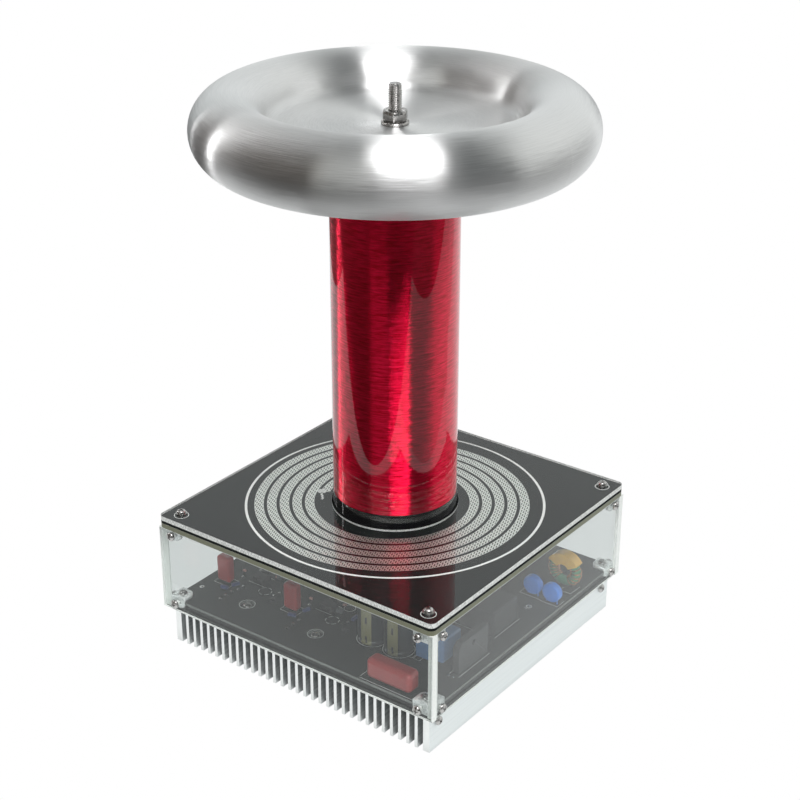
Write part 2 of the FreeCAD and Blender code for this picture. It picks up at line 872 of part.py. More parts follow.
def make_varistors():
    """Dipped discs that stand on edge, facing the front, on two short leads."""
    parts = []
    for x, y in varistor_spots:
        centre = board_top + lead_lift + varistor_radius
        disc = rod(varistor_radius, at(x, y - varistor_thickness / 2, centre), Y, varistor_thickness)
        disc = disc.makeFillet(varistor_round, [edge for edge in disc.Edges if edge.Closed])
        parts.append(disc.fuse(board_leads(x, y, varistor_lead_pitch, X, centre)).removeSplitter())
    return group(parts)


def choke_loop_radius():
    """How far the wire's centre line runs from the middle of the core's section."""
    return choke_core_radius + choke_wire_clearance + choke_wire_radius


def choke_centre():
    """The choke's ring stands on edge on the board, on its own core."""
    x, y = choke_spot
    return at(x, y, board_top + choke_radius + choke_core_radius)


def make_choke_core():
    return Part.makeTorus(choke_radius, choke_core_radius, choke_centre(), Y)


def tangent_arc(start, tangent, end):
    """The arc that leaves start along tangent and reaches end."""
    chord = end - start
    angle = tangent.getAngle(chord)
    if angle < 1e-6:
        return Part.LineSegment(start, end).toShape()
    normal = tangent.cross(chord).normalize()
    side = chord.cross(normal).normalize()
    rise = chord.Length / 2 * math.tan(angle / 2)
    return Part.Arc(start, (start + end) / 2 + side * rise, end).toShape()


def biarc(start, start_tangent, end, end_tangent):
    """Two arcs that join two points and keep both tangents."""
    span = end - start
    both = start_tangent + end_tangent
    bend = 2 * (1 - start_tangent.dot(end_tangent))
    along = span.dot(both)
    if abs(bend) < 1e-9:
        reach = span.Length ** 2 / (2 * along)
    else:
        reach = (math.sqrt(along ** 2 + bend * span.Length ** 2) - along) / bend
    joint = (start + end + (start_tangent - end_tangent) * reach) / 2
    joint_tangent = (end - end_tangent * reach - start - start_tangent * reach).normalize()
    return [tangent_arc(start, start_tangent, joint), tangent_arc(joint, joint_tangent, end)]


def choke_wire_point(turn, side):
    """A point of the winding and its direction: a round loop that walks round the ring."""
    walk = math.radians(choke_winding_angle) / choke_turns
    drop = math.radians(choke_winding_drop)
    small = 1e-5

    def place(turns):
        about = walk * (turns - choke_turns / 2) - drop
        loop = 2 * math.pi * turns
        out = choke_radius + choke_loop_radius() * math.cos(loop)
        across = choke_loop_radius() * math.sin(loop)
        return choke_centre() + at(side * out * math.cos(about), across, out * math.sin(about))

    return place(turn), (place(turn + small) - place(turn)).normalize()


def print_least_gap(side):
    """Measure the air between the winding's turns on points along the wire."""
    count = choke_turns * gap_samples_per_turn
    points = [choke_wire_point(index / gap_samples_per_turn, side)[0] for index in range(count + 1)]
    apart = gap_samples_per_turn // 2
    least = min((points[i] - points[j]).Length
                for i in range(count + 1) for j in range(i + apart, count + 1))
    print("choke winding, least gap between turns", round(least - 2 * choke_wire_radius, 2), "mm")


def make_choke_windings():
    """Two windings of round wire, one low on each side of the ring, each one unbroken tube."""
    windings = []
    for side in (1, -1):
        stations = [choke_wire_point(index / 2, side) for index in range(2 * choke_turns + 1)]
        edges = []
        for (start, start_tangent), (end, end_tangent) in zip(stations, stations[1:]):
            edges += biarc(start, start_tangent, end, end_tangent)
        begin, direction = stations[0]
        section = Part.Wire(Part.Circle(begin, direction, choke_wire_radius).toShape())
        windings.append(Part.Wire(edges).makePipeShell([section], True, False))
        print_least_gap(side)
    return group(windings)


def make_choke_tape():
    """A folded sleeve of tape over the upper part of the ring, above the two windings."""
    centre = choke_centre()
    half = choke_core_radius + tape_wall
    low, high = centre.z + choke_radius - half, centre.z + choke_radius + half
    corners = [at(centre.x, centre.y - half, low), at(centre.x, centre.y + half, low),
               at(centre.x, centre.y + half, high), at(centre.x, centre.y - half, high)]
    section = Part.Face(Part.makePolygon(corners + corners[:1]))
    section.rotate(centre, Y, -tape_angle / 2)
    return section.revolve(centre, Y, tape_angle).cut(make_choke_core())


def make_driver_chips():
    """Small moulded chips with a notch at one end and two rows of leads."""
    parts = []
    for x, y in chip_spots:
        z0 = board_top + chip_lift
        z1 = board_top + chip_height
        end = x - chip_length / 2
        body = block(end, end + chip_length, y - chip_width / 2, y + chip_width / 2, z0, z1)
        notch = rod(chip_notch_radius, at(end, y, z1 - chip_notch_radius), Z, chip_notch_radius + overrun)
        body = body.cut(notch)
        half = chip_lead_width / 2
        for index in range(chip_lead_count):
            lead_x = x + (index - (chip_lead_count - 1) / 2) * chip_lead_pitch
            for side in (1, -1):
                lead_y = y + side * (chip_width / 2 + half)
                body = body.fuse(block(lead_x - half, lead_x + half, lead_y - half, lead_y + half,
                                       board_top, (z0 + z1) / 2))
        parts.append(body.removeSplitter())
    return group(parts)


def make_primary_feed_posts():
    """Brass posts that carry the current from the main board up to the flat coil."""
    return group([rod(post_radius, at(x, y, board_top), Z, lower_plate_top - board_top)
                  for x, y in post_spots])


def make_feedback_ring():
    """The ring of the feedback transformer, round the inner post."""
    x, y = post_spots[0]
    core = rod(feedback_radius, at(x, y, board_top), Z, feedback_height)
    core = drill(core, [(x, y)], feedback_hole_radius, board_top, board_top + feedback_height)
    return core.makeChamfer(feedback_chamfer, [edge for edge in core.Edges if edge.Closed])


def inlet_outline(y):
    """The recess outline: a rectangle whose two upper corners are cut."""
    x, z = inlet_centre
    left, right = x - inlet_recess_width / 2, x + inlet_recess_width / 2
    low, high = z - inlet_recess_height / 2, z + inlet_recess_height / 2
    cut = inlet_recess_chamfer
    return [at(left, y, low), at(right, y, low), at(right, y, high - cut), at(right - cut, y, high),
            at(left + cut, y, high), at(left, y, high - cut), at(left, y, low)]


def make_mains_inlet():
    """A panel inlet: a flange outside the back wall and a deep recess for a plug."""
    x, z = inlet_centre
    half_x, half_z = inlet_flange_width / 2, inlet_flange_height / 2
    flange = block(x - half_x, x + half_x, case_half, case_half + inlet_flange_thickness,
                   z - half_z, z + half_z)
    flange = flange.makeFillet(inlet_flange_round, edges_along(flange, Y))
    half_x, half_z = inlet_body_width / 2, inlet_body_height / 2
    body = block(x - half_x, x + half_x, case_half - inlet_body_depth, case_half, z - half_z, z + half_z)
    mouth = case_half + inlet_flange_thickness
    outline = inlet_outline(mouth + overrun)
    recess = Part.Face(Part.makePolygon(outline)).extrude(Y * -(inlet_recess_depth + overrun))
    shell = flange.fuse(body).removeSplitter().cut(recess)
    for pin in inlet_pins():
        shell = shell.cut(pin)
    return shell


def inlet_pins():
    x, z = inlet_centre
    floor = case_half + inlet_flange_thickness - inlet_recess_depth
    back = case_half - inlet_body_depth - inlet_pin_tail
    half_x, half_z = inlet_pin_thickness / 2, inlet_pin_width / 2
    spots = ((x - inlet_pin_spacing, z - inlet_pin_drop), (x, z + inlet_earth_rise),
             (x + inlet_pin_spacing, z - inlet_pin_drop))
    return [block(px - half_x, px + half_x, back, floor + inlet_pin_length, pz - half_z, pz + half_z)
            for px, pz in spots]


def make_mains_pins():
    return group(inlet_pins())


nodes = [
    ("heat_sink", make_heat_sink),
    ("heat_sink_side_screws", make_heat_sink_side_screws),
    ("thermal_pads", make_thermal_pads),
    ("power_transistors", make_power_transistors),
    ("transistor_screws", make_transistor_screws),
    ("board_spacers", make_board_spacers),
    ("main_board", make_main_board),
    ("bottom_brackets", make_bottom_brackets),
    ("bottom_bracket_screws", make_bottom_bracket_screws),
    ("front_panel", make_front_panel),
    ("back_panel", make_back_panel),
    ("left_panel", make_left_panel),
    ("right_panel", make_right_panel),
    ("panel_screws", make_panel_screws),
    ("top_brackets", make_top_brackets),
    ("lower_plate", make_lower_plate),
    ("primary_board", make_primary_board),
    ("primary_spiral", make_primary_spiral),
    ("top_cover", make_top_cover),
    ("cover_washers", make_cover_washers),
    ("cover_screws", make_cover_screws),
    ("coil_tube", make_coil_tube),
    ("coil_winding", make_coil_winding),
    ("coil_collar", make_coil_collar),
    ("coil_base_plug", make_coil_base_plug),
    ("coil_base_screws", make_coil_base_screws),
    ("coil_top_cap", make_coil_top_cap),
    ("stud", make_stud),
    ("stud_lock_washer", make_stud_lock_washer),
    ("stud_lock_nut", make_stud_lock_nut),
    ("toroid_upper_shell", make_toroid_upper_shell),
    ("toroid_lower_shell", make_toroid_lower_shell),
    ("top_washer", make_top_washer),
    ("top_nut", make_top_nut),
    ("electrolytic_capacitors", make_electrolytic_capacitors),
    ("film_capacitors", make_film_capacitors),
    ("large_film_capacitor", make_large_film_capacitor),
    ("relay", make_relay),
    ("auxiliary_supply", make_auxiliary_supply),
    ("bridge_rectifier", make_bridge_rectifier),
    ("varistors", make_varistors),
    ("choke_core", make_choke_core),
    ("choke_windings", make_choke_windings),
    ("choke_tape", make_choke_tape),
    ("driver_chips", make_driver_chips),
    ("primary_feed_posts", make_primary_feed_posts),
    ("feedback_ring", make_feedback_ring),
    ("mains_inlet", make_mains_inlet),
    ("mains_pins", make_mains_pins),
]

os.makedirs("parts", exist_ok=True)
for name, make in nodes:
    shape = make()
    if not shape.isValid():
        print("not valid:", name)
    shape.exportStep("parts/" + name + ".step")
    print(name, len(shape.Solids), "solids", round(shape.Volume, 1))
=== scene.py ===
import json
import math

import bmesh
import bpy
from mathutils import Matrix, Vector


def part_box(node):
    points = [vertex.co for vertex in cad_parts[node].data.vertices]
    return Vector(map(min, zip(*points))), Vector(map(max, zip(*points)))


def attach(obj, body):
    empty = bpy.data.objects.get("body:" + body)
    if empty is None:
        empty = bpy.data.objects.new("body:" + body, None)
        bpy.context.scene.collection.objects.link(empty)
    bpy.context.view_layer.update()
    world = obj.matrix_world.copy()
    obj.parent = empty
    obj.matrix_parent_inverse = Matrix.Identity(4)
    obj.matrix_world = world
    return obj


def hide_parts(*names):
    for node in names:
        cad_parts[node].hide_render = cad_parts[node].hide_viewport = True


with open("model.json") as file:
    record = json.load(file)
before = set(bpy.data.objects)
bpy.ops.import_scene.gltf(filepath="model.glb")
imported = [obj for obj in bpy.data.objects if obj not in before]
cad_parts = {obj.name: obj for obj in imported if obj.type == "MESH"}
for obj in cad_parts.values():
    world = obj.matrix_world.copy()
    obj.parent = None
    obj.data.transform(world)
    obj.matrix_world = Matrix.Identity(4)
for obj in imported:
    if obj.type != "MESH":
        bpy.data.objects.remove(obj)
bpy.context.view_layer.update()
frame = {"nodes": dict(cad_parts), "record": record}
mm = 0.001


# Heat sink. The base is one length of extruded aluminium with fins hanging down to the table, clear
# anodised, with fine die lines along it. The sawn ends are milled bright. The flanks of the fins
# carry painted shade that grows darker towards their roots, and the face under the board is painted
# dark as the shade under the board.

class Number:
    """A number in a node tree. Working with it in Python makes the Math nodes of the same working."""

    def __init__(self, socket):
        self.socket, self.id_data = socket, socket.id_data

    def __add__(self, other):
        return math_node("ADD", self, other)

    def __sub__(self, other):
        return math_node("SUBTRACT", self, other)

    def __rsub__(self, other):
        return math_node("SUBTRACT", other, self)

    def __mul__(self, other):
        return math_node("MULTIPLY", self, other)

    def __truediv__(self, other):
        return math_node("DIVIDE", self, other)

    def __gt__(self, other):
        return math_node("GREATER_THAN", self, other)

    def __lt__(self, other):
        return math_node("LESS_THAN", self, other)


def math_node(operation, *values):
    """One Math node on numbers of a tree and plain numbers."""
    tree = next(value.id_data for value in values if isinstance(value, Number))
    return Number(add(tree, "ShaderNodeMath", dict(enumerate(values)), operation=operation).outputs[0])


def feed(socket, value):
    """Link an input to a number, a socket or a node's first output, or write a plain value into it."""
    if isinstance(value, Number):
        value = value.socket
    if isinstance(value, bpy.types.Node):
        value = value.outputs[0]
    if isinstance(value, bpy.types.NodeSocket):
        socket.id_data.links.new(value, socket)
    else:
        socket.default_value = (*value, 1) if socket.type == "RGBA" else value


def add(tree, kind, sockets=None, **settings):
    """A node with its settings, and with its inputs fed by their names or numbers."""
    made = tree.nodes.new(kind)
    for name, value in settings.items():
        setattr(made, name, value)
    for name, value in (sockets or {}).items():
        feed(made.inputs[name], value)
    return made


def split(vector):
    """The three parts of a vector in a node tree."""
    return [Number(part) for part in add(vector.id_data, "ShaderNodeSeparateXYZ", {0: vector}).outputs]


def own_place(tree):
    """A point's place in its piece's own coordinates, in metres."""
    return add(tree, "ShaderNodeTexCoord").outputs["Object"]


def fill(shader, **values):
    """Feed a Principled shader. An underscore in a name stands for a space."""
    for name, value in values.items():
        feed(shader.inputs[name.replace("_", " ")], value)


def new_finish(name, **values):
    """A material with one Principled shader, and that shader."""
    finish = bpy.data.materials.new(name)
    finish.use_nodes = True
    shader = finish.node_tree.nodes["Principled BSDF"]
    fill(shader, **values)
    return finish, shader


def stretched_noise(tree, scale, detail=4.0):
    """Noise on a piece's own coordinates. Its scale, one or one for each axis, is in waves per metre."""
    scale = scale if isinstance(scale, tuple) else (scale, scale, scale)
    wide = add(tree, "ShaderNodeMapping", {"Vector": own_place(tree), "Scale": scale})
    grain = {"Vector": wide, "Scale": 1.0, "Detail": detail, "Roughness": 0.6}
    return Number(add(tree, "ShaderNodeTexNoise", grain).outputs["Fac"])


def ramp(factor, *stops):
    """A colour ramp through (position, colour) stops, where one number stands for a grey."""
    made = add(factor.id_data, "ShaderNodeValToRGB", {"Fac": factor})
    elements = made.color_ramp.elements
    while len(elements) < len(stops):
        elements.new(0.5)
    for element, (position, colour) in zip(elements, stops):
        element.position = position
        element.color = (*colour, 1) if isinstance(colour, tuple) else (colour, colour, colour, 1)
    return made.outputs["Color"]


def bump(shader, height, depth, strength=1.0, socket="Normal"):
    """Raise a shader's surface by a height, depth millimetres at most."""
    feed(shader.inputs[socket], add(shader.id_data, "ShaderNodeBump",
                                    {"Height": height, "Distance": depth * mm, "Strength": strength}))


def grained(name, scale, detail=4.0, depth=0.0, strength=1.0, stops=(), into="Base_Color", **values):
    """A finish with one noise, which colours or roughens it through a ramp and raises its surface."""
    finish, shader = new_finish(name, **values)
    grain = stretched_noise(finish.node_tree, scale, detail)
    if stops:
        fill(shader, **{into: ramp(grain, *stops)})
    if depth:
        bump(shader, grain, depth, strength)
    return finish


def dress(finish, *nodes):
    """Give CAD pieces their finish."""
    for node in nodes:
        for slot in frame["nodes"][node].material_slots:
            slot.material = finish


def merged_copy(node):
    """A CAD piece's mesh with its loose triangles joined and its flat faces whole."""
    shape = bmesh.new()
    shape.from_mesh(frame["nodes"][node].data)
    bmesh.ops.remove_doubles(shape, verts=shape.verts, dist=0.002 * mm)
    flat = math.radians(0.5)
    bmesh.ops.dissolve_limit(shape, angle_limit=flat, verts=shape.verts, edges=shape.edges)
    return shape


def sharp_edges(shape, angle=30):
    limit = math.radians(angle)
    return [e for e in shape.edges if len(e.link_faces) == 2 and e.calc_face_angle() > limit]


def ease(shape, edges, width, segments=2):
    """Bevel edges by a width in millimetres."""
    bmesh.ops.bevel(shape, geom=edges, offset=width * mm, offset_type="OFFSET", segments=segments,
                    affect="EDGES", clamp_overlap=True)


def eased_copy(node, angle, width, segments=2):
    """A CAD piece's mesh with its edges above an angle eased by a width in millimetres."""
    shape = merged_copy(node)
    ease(shape, sharp_edges(shape, angle), width, segments)
    return shape


def as_mesh(name, shape):
    mesh = bpy.data.meshes.new(name)
    shape.to_mesh(mesh)
    shape.free()
    return mesh


def scene_object(name, data):
    made = bpy.data.objects.new(name, data)
    bpy.context.scene.collection.objects.link(made)
    return made


def stand_in(name, shape, finishes, body="apparatus", node=None, smooth=35):
    """Turn a built shape into a piece that rides on a body and may replace a CAD piece."""
    mesh = shape if isinstance(shape, bpy.types.Mesh) else as_mesh(name, shape)
    for finish in finishes:
        mesh.materials.append(finish)
    mesh.shade_smooth()
    mesh.set_sharp_from_angle(angle=math.radians(smooth))
    piece = scene_object(name, mesh)
    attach(piece, body)
    if node:
        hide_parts(node)
        used = [part["material_slot"] for part in frame["record"]["subparts"] if part["node"] == node]


die_scale, fade_per_metre = (900, 14, 900), 25.0
sink_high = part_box("heat_sink")[1]
outer_flanks = 93 * mm
sink_finish = grained("extruded_aluminium", die_scale, 5, 0.01, 0.3,
                      [(0.3, (0.78, 0.82, 0.82)), (0.75, (0.86, 0.90, 0.90))], Metallic=0.75, Roughness=0.42)
milled_finish = grained("milled_fin_ends", (300, 300, 2500), 3, 0.01, 0.3,
                        [(0.3, (0.92, 0.95, 0.94)), (0.8, (0.99, 1.0, 0.99))], Metallic=0.25, Roughness=0.4)
# Painted shade: the sink's top face under the board is coloured near black to stand for the board's shadow.
sink_top_painted_shade = grained("sink_face_under_board", die_scale, 5, 0.01, 0.3,
                        [(0.3, (0.10, 0.11, 0.11)), (0.75, (0.13, 0.14, 0.14))], Metallic=0.5, Roughness=0.5)
# Painted shade: the fin flanks grow darker upwards towards their roots, standing for the shade deep between
# the fins; a noise mottles it.
flank_finish, flank_shader = new_finish("fin_flanks", Metallic=0.75, Roughness=0.45)
flank_dust = stretched_noise(flank_finish.node_tree, die_scale, 5)
painted_flank_shade = split(own_place(flank_finish.node_tree))[2] * fade_per_metre + flank_dust
fill(flank_shader, Base_Color=ramp(painted_flank_shade, (0.45, (0.95, 0.98, 0.98)), (1.0, (0.42, 0.45, 0.45))))
bump(flank_shader, flank_dust, 0.01, 0.3)

sink_shape = eased_copy("heat_sink", 60, 0.22, 1)
for face in sink_shape.faces:
    middle = face.calc_center_median()
    if abs(face.normal.y) > 0.6:
        face.material_index = 1
    elif abs(face.normal.x) > 0.6 and abs(middle.x) < outer_flanks:
        face.material_index = 2
    elif face.normal.z > 0.9 and middle.z > sink_high.z - 1 * mm:
        face.material_index = 3
stand_in("heat_sink_block", sink_shape, [sink_finish, milled_finish, flank_finish, sink_top_painted_shade],
         node="heat_sink")


# Screws of the case, the board and the sink. Pan head machine screws with a cross recess, plated
# steel. Every kind is one shape set on its places by one node tree, with the head outwards.

steel_finish = grained("plated_steel", 700, 3, stops=[(0.3, 0.20), (0.8, 0.40)], into="Roughness",
                       Metallic=1.0, Base_Color=(0.55, 0.54, 0.53))


def lathe(shape, outline, segments=32, centre=(0, 0, 0)):
    """Turn an outline of (radius, height) points about an upright axis. A radius of 0 is a pole."""
    rings = []
    for radius, height in outline:
        if radius == 0:
            rings.append([shape.verts.new((centre[0], centre[1], centre[2] + height))])
            continue
        turns = [2 * math.pi * i / segments for i in range(segments)]
        rings.append([shape.verts.new((centre[0] + radius * math.cos(t), centre[1] + radius * math.sin(t),
                                       centre[2] + height)) for t in turns])
    faces = []
    for low, high in zip(rings, rings[1:]):
        for i in range(segments):
            j = (i + 1) % segments
            if len(low) == 1:
                corners = [low[0], high[j], high[i]]
            elif len(high) == 1:
                corners = [low[i], low[j], high[0]]
            else:
                corners = [low[i], low[j], high[j], high[i]]
            faces.append(shape.faces.new(corners))
    return faces


def evaluated(piece):
    """A plain mesh of what an object's modifiers make."""
    graph = bpy.context.evaluated_depsgraph_get()
    return bpy.data.meshes.new_from_object(piece.evaluated_get(graph))


def pan_screw(head_radius, head_height, shank_radius, length):
    """A screw with its seat at the origin, its head up and a cross recess cut into the crown."""
    crown = [(head_radius * math.cos(a), head_height * (0.35 + 0.65 * math.sin(a)))
             for a in (math.radians(step) for step in (0, 20, 40, 58, 74))]
    outline = [(0, -length), (shank_radius, -length), (shank_radius, 0), (head_radius, 0)]
    shape = bmesh.new()
    lathe(shape, outline + crown + [(0, head_height)])
    head = scene_object("screw_blank", as_mesh("screw_blank", shape))
    cut = bmesh.new()
    arm, half = head_radius * 0.58, head_radius * 0.13
    for across, along in ((arm, half), (half, arm)):
        size = Matrix.Diagonal((2 * across, 2 * along, head_height * 1.1, 1))
        bmesh.ops.create_cube(cut, size=1, matrix=Matrix.Translation((0, 0, head_height * 0.95)) @ size)
    cutter = scene_object("recess_tool", as_mesh("recess_tool", cut))
    recess = head.modifiers.new("recess", "BOOLEAN")
    recess.operation = "DIFFERENCE"
    recess.object = cutter
    recess.use_self = True
    made = evaluated(head)
    for tool in (head, cutter):
        bpy.data.objects.remove(tool)
    return made


def geometry_tree(name, **labels):
    """A node tree with named inputs of each kind besides its geometry and finish, and their sockets."""
    tree = bpy.data.node_groups.new(name, "GeometryNodeTree")
    for kind, names in {"Geometry": ["Geometry"], "Material": ["Finish"], **labels}.items():
        for label in names:
            tree.interface.new_socket(label, in_out="INPUT", socket_type="NodeSocket" + kind)
    tree.interface.new_socket("Geometry", in_out="OUTPUT", socket_type="NodeSocketGeometry")
    return tree, add(tree, "NodeGroupInput").outputs


def close_tree(tree, shape, finish):
    """End a node tree: its instances made real, and the whole in its finish."""
    whole = add(tree, "GeometryNodeRealizeInstances", {"Geometry": shape})
    coloured = add(tree, "GeometryNodeSetMaterial", {"Geometry": whole, "Material": finish})
    add(tree, "NodeGroupOutput", {"Geometry": coloured})


def grown(tree, base=None, **inputs):
    """The plain mesh that a node tree makes from a base mesh and its named inputs."""
    carrier = scene_object("carrier", base or bpy.data.meshes.new("blank"))
    maker = carrier.modifiers.new("make", "NODES")
    maker.node_group = tree
    for item in tree.interface.items_tree:
        label = item.name.replace(" ", "_")
        if label in inputs:
            maker[item.identifier] = inputs[label]
    made = evaluated(carrier)
    bpy.data.objects.remove(carrier)
    made.materials.clear()
    return made


# One shape on every point, its height along the point's facing, turned by the point's turn.
placing_tree, given = geometry_tree("set_on_points", Object=["Shape"])
facing = add(placing_tree, "GeometryNodeInputNamedAttribute", {"Name": "facing"}, data_type="FLOAT_VECTOR")
turn = add(placing_tree, "GeometryNodeInputNamedAttribute", {"Name": "turn"}, data_type="FLOAT")
spin = add(placing_tree, "FunctionNodeAxisAngleToRotation", {"Axis": (0, 0, 1), "Angle": turn})
aim = add(placing_tree, "FunctionNodeAlignRotationToVector", {"Vector": facing}, axis="Z")
both = add(placing_tree, "FunctionNodeRotateRotation", {"Rotation": aim, "Rotate By": spin},
           rotation_space="LOCAL")
shape = add(placing_tree, "GeometryNodeObjectInfo", {"Object": given["Shape"]}).outputs["Geometry"]
placed = add(placing_tree, "GeometryNodeInstanceOnPoints",
             {"Points": given["Geometry"], "Instance": shape, "Rotation": both})
close_tree(placing_tree, placed, given["Finish"])


def repeated(name, mesh, places, finish, node=None, smooth=35):
    """Copies of one mesh at (place, facing, turn) points, made one plain piece by the node tree."""
    points = bpy.data.meshes.new(name + "_points")
    points.from_pydata([place for place, facing, turn in places], [], [])
    points.attributes.new("facing", "FLOAT_VECTOR", "POINT")
    points.attributes.new("turn", "FLOAT", "POINT")
    for index, (place, facing, turn) in enumerate(places):
        points.attributes["facing"].data[index].vector = facing
        points.attributes["turn"].data[index].value = turn
    shape = scene_object(name + "_shape", mesh)
    whole = grown(placing_tree, points, Shape=shape, Finish=finish)
    bpy.data.objects.remove(shape)
    for attribute in ("facing", "turn"):
        if attribute in whole.attributes:
            whole.attributes.remove(whole.attributes[attribute])
    stand_in(name, whole, [finish], node=node, smooth=smooth)


head_radius, head_height, shank_radius = 2.8 * mm, 2.1 * mm, 1.5 * mm
small_screw, long_screw, board_screw, sink_screw = (
    pan_screw(head_radius, head_height, shank_radius, length * mm) for length in (5.0, 12.0, 8.5, 4.0))
golden_turn = 2.4

side_low, side_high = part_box("heat_sink_side_screws")
side_z = (side_low.z + side_high.z) / 2
side_y = side_high.y - head_radius
side_places = [((sx * sink_high.x, sy * side_y, side_z), (sx, 0, 0), golden_turn * (2 * sx + sy))
               for sx in (1, -1) for sy in (1, -1)]
repeated("sink_side_screws", sink_screw, side_places, steel_finish, node="heat_sink_side_screws")

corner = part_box("cover_screws")[1].x - head_radius
corners = [(sx * corner, sy * corner) for sx in (1, -1) for sy in (1, -1)]
up, down = (0, 0, 1), (0, 0, -1)
for name, node, seat_node, first_turn in (("foot_screws", "bottom_bracket_screws", "bottom_brackets", 0.0),
                                          ("lid_screws", "cover_screws", "cover_washers", 0.5)):
    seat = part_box(seat_node)[1].z
    seats = [((x, y, seat), up, golden_turn * i + first_turn) for i, (x, y) in enumerate(corners)]
    repeated(name, long_screw, seats, steel_finish, node=node)

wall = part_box("front_panel")[0].y
wall_screws_low, wall_screws_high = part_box("panel_screws")
rows = (wall_screws_low.z + head_radius, wall_screws_high.z - head_radius)
wall_places = []
for row in rows:
    for along in (corner, -corner):
        for turn in range(4):
            facing = Matrix.Rotation(turn * math.pi / 2, 3, "Z")
            wall_places.append((facing @ Vector((along, wall, row)), facing @ Vector((0, -1, 0)),
                                golden_turn * len(wall_places)))
repeated("wall_screws", small_screw, wall_places, steel_finish, node="panel_screws")

device_low, device_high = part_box("transistor_screws")
device_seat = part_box("main_board")[0].z
device_places = [((device_low.x + head_radius, device_high.y - head_radius, device_seat), up, 0.4),
                 ((device_high.x - head_radius, device_low.y + head_radius, device_seat), up, 1.1)]
repeated("device_screws", board_screw, device_places, steel_finish, node="transistor_screws")

washer_finish = grained("washer_steel", 2500, depth=0.01, Metallic=1.0, Base_Color=(0.50, 0.50, 0.49),
                        Roughness=0.3)
dress(washer_finish, "cover_washers", "board_spacers")


# Power transistors and their pads. Two moulded devices lie flat on the sink under the board, each
# on a grey silicone pad, and their leads turn up through the board.

pad_finish = grained("silicone_pad", 1800, depth=0.03, Base_Color=(0.42, 0.45, 0.50), Roughness=0.8)
dress(pad_finish, "thermal_pads")
moulding_finish = grained("black_moulding_compound", 1500, 6, 0.02, stops=[(0.3, 0.018), (0.8, 0.034)],
                          Roughness=0.5, Specular_IOR_Level=0.4)
dress(moulding_finish, "power_transistors")


# Main board. Glass laminate under a black solder mask that shows the copper tracks as faint
# ridges, with white printed outlines. Small parts and solder dots stand on it.

def mixed(factor, first, second):
    """A mix of two colours."""
    return add(factor.id_data, "ShaderNodeMix", {"Factor": factor, 6: first, 7: second},
               data_type="RGBA").outputs[2]


mask_finish, mask_shader = new_finish("black_solder_mask", Roughness=0.45, Specular_IOR_Level=0.15)
mask_tree = mask_finish.node_tree
tracks = add(mask_tree, "ShaderNodeTexBrick",
             {"Vector": own_place(mask_tree), "Scale": 1.0, "Mortar Size": 0.35 * mm, "Mortar Smooth": 0.2,
              "Brick Width": 17 * mm, "Row Height": 2.6 * mm, "Color1": (1, 1, 1),
              "Color2": (0.7, 0.7, 0.7), "Mortar": (0, 0, 0)}, offset=0.37, squash=0.6)
mask_colour = ramp(tracks, (0.0, (0.010, 0.013, 0.013)), (1.0, (0.014, 0.018, 0.017)))
facing_up = split(add(mask_tree, "ShaderNodeNewGeometry").outputs["Normal"])[2]
cut_edge = math_node("ABSOLUTE", facing_up) < 0.5
fill(mask_shader, Base_Color=mixed(cut_edge, mask_colour, (0.17, 0.18, 0.17)))
bump(mask_shader, tracks, 0.02, 0.04)
dress(mask_finish, "main_board")
board_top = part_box("main_board")[1].z
print_finish = grained("white_board_print", 4000, depth=0.01, Base_Color=(0.72, 0.74, 0.73), Roughness=0.55)


def ribbon(shape, points, width, z, closed=False):
    """A flat printed line through (x, y) points at a height, in metres."""
    count = len(points)
    pairs = []
    for i, (x, y) in enumerate(points):
        before = points[i - 1] if closed or i else points[i]
        after = points[(i + 1) % count] if closed or i < count - 1 else points[i]
        along = Vector((after[0] - before[0], after[1] - before[1])).normalized()
        side = Vector((-along.y, along.x)) * (width / 2)
        pairs.append((shape.verts.new((x + side.x, y + side.y, z)),
                      shape.verts.new((x - side.x, y - side.y, z))))
    steps = list(zip(pairs, pairs[1:]))
    if closed:
        steps.append((pairs[-1], pairs[0]))
    for (a, b), (c, d) in steps:
        shape.faces.new([b, d, c, a])


def arc_points(x, y, radius, start=0, sweep=360, steps=40):
    """Points of an arc in metres, from millimetres and degrees."""
    whole = abs(sweep) >= 360
    count = steps if whole else steps + 1
    turns = [math.radians(start + sweep * i / steps) for i in range(count)]
    return [((x + radius * math.cos(t)) * mm, (y + radius * math.sin(t)) * mm) for t in turns]


print_level = board_top + 0.03 * mm
lines = bmesh.new()


def printed(*points, closed=False):
    ribbon(lines, [(x * mm, y * mm) for x, y in points], 0.30 * mm, print_level, closed)


def printed_ring(x, y, radius, width, start=0, sweep=360):
    ribbon(lines, arc_points(x, y, radius, start, sweep), width * mm, print_level, abs(sweep) >= 360)


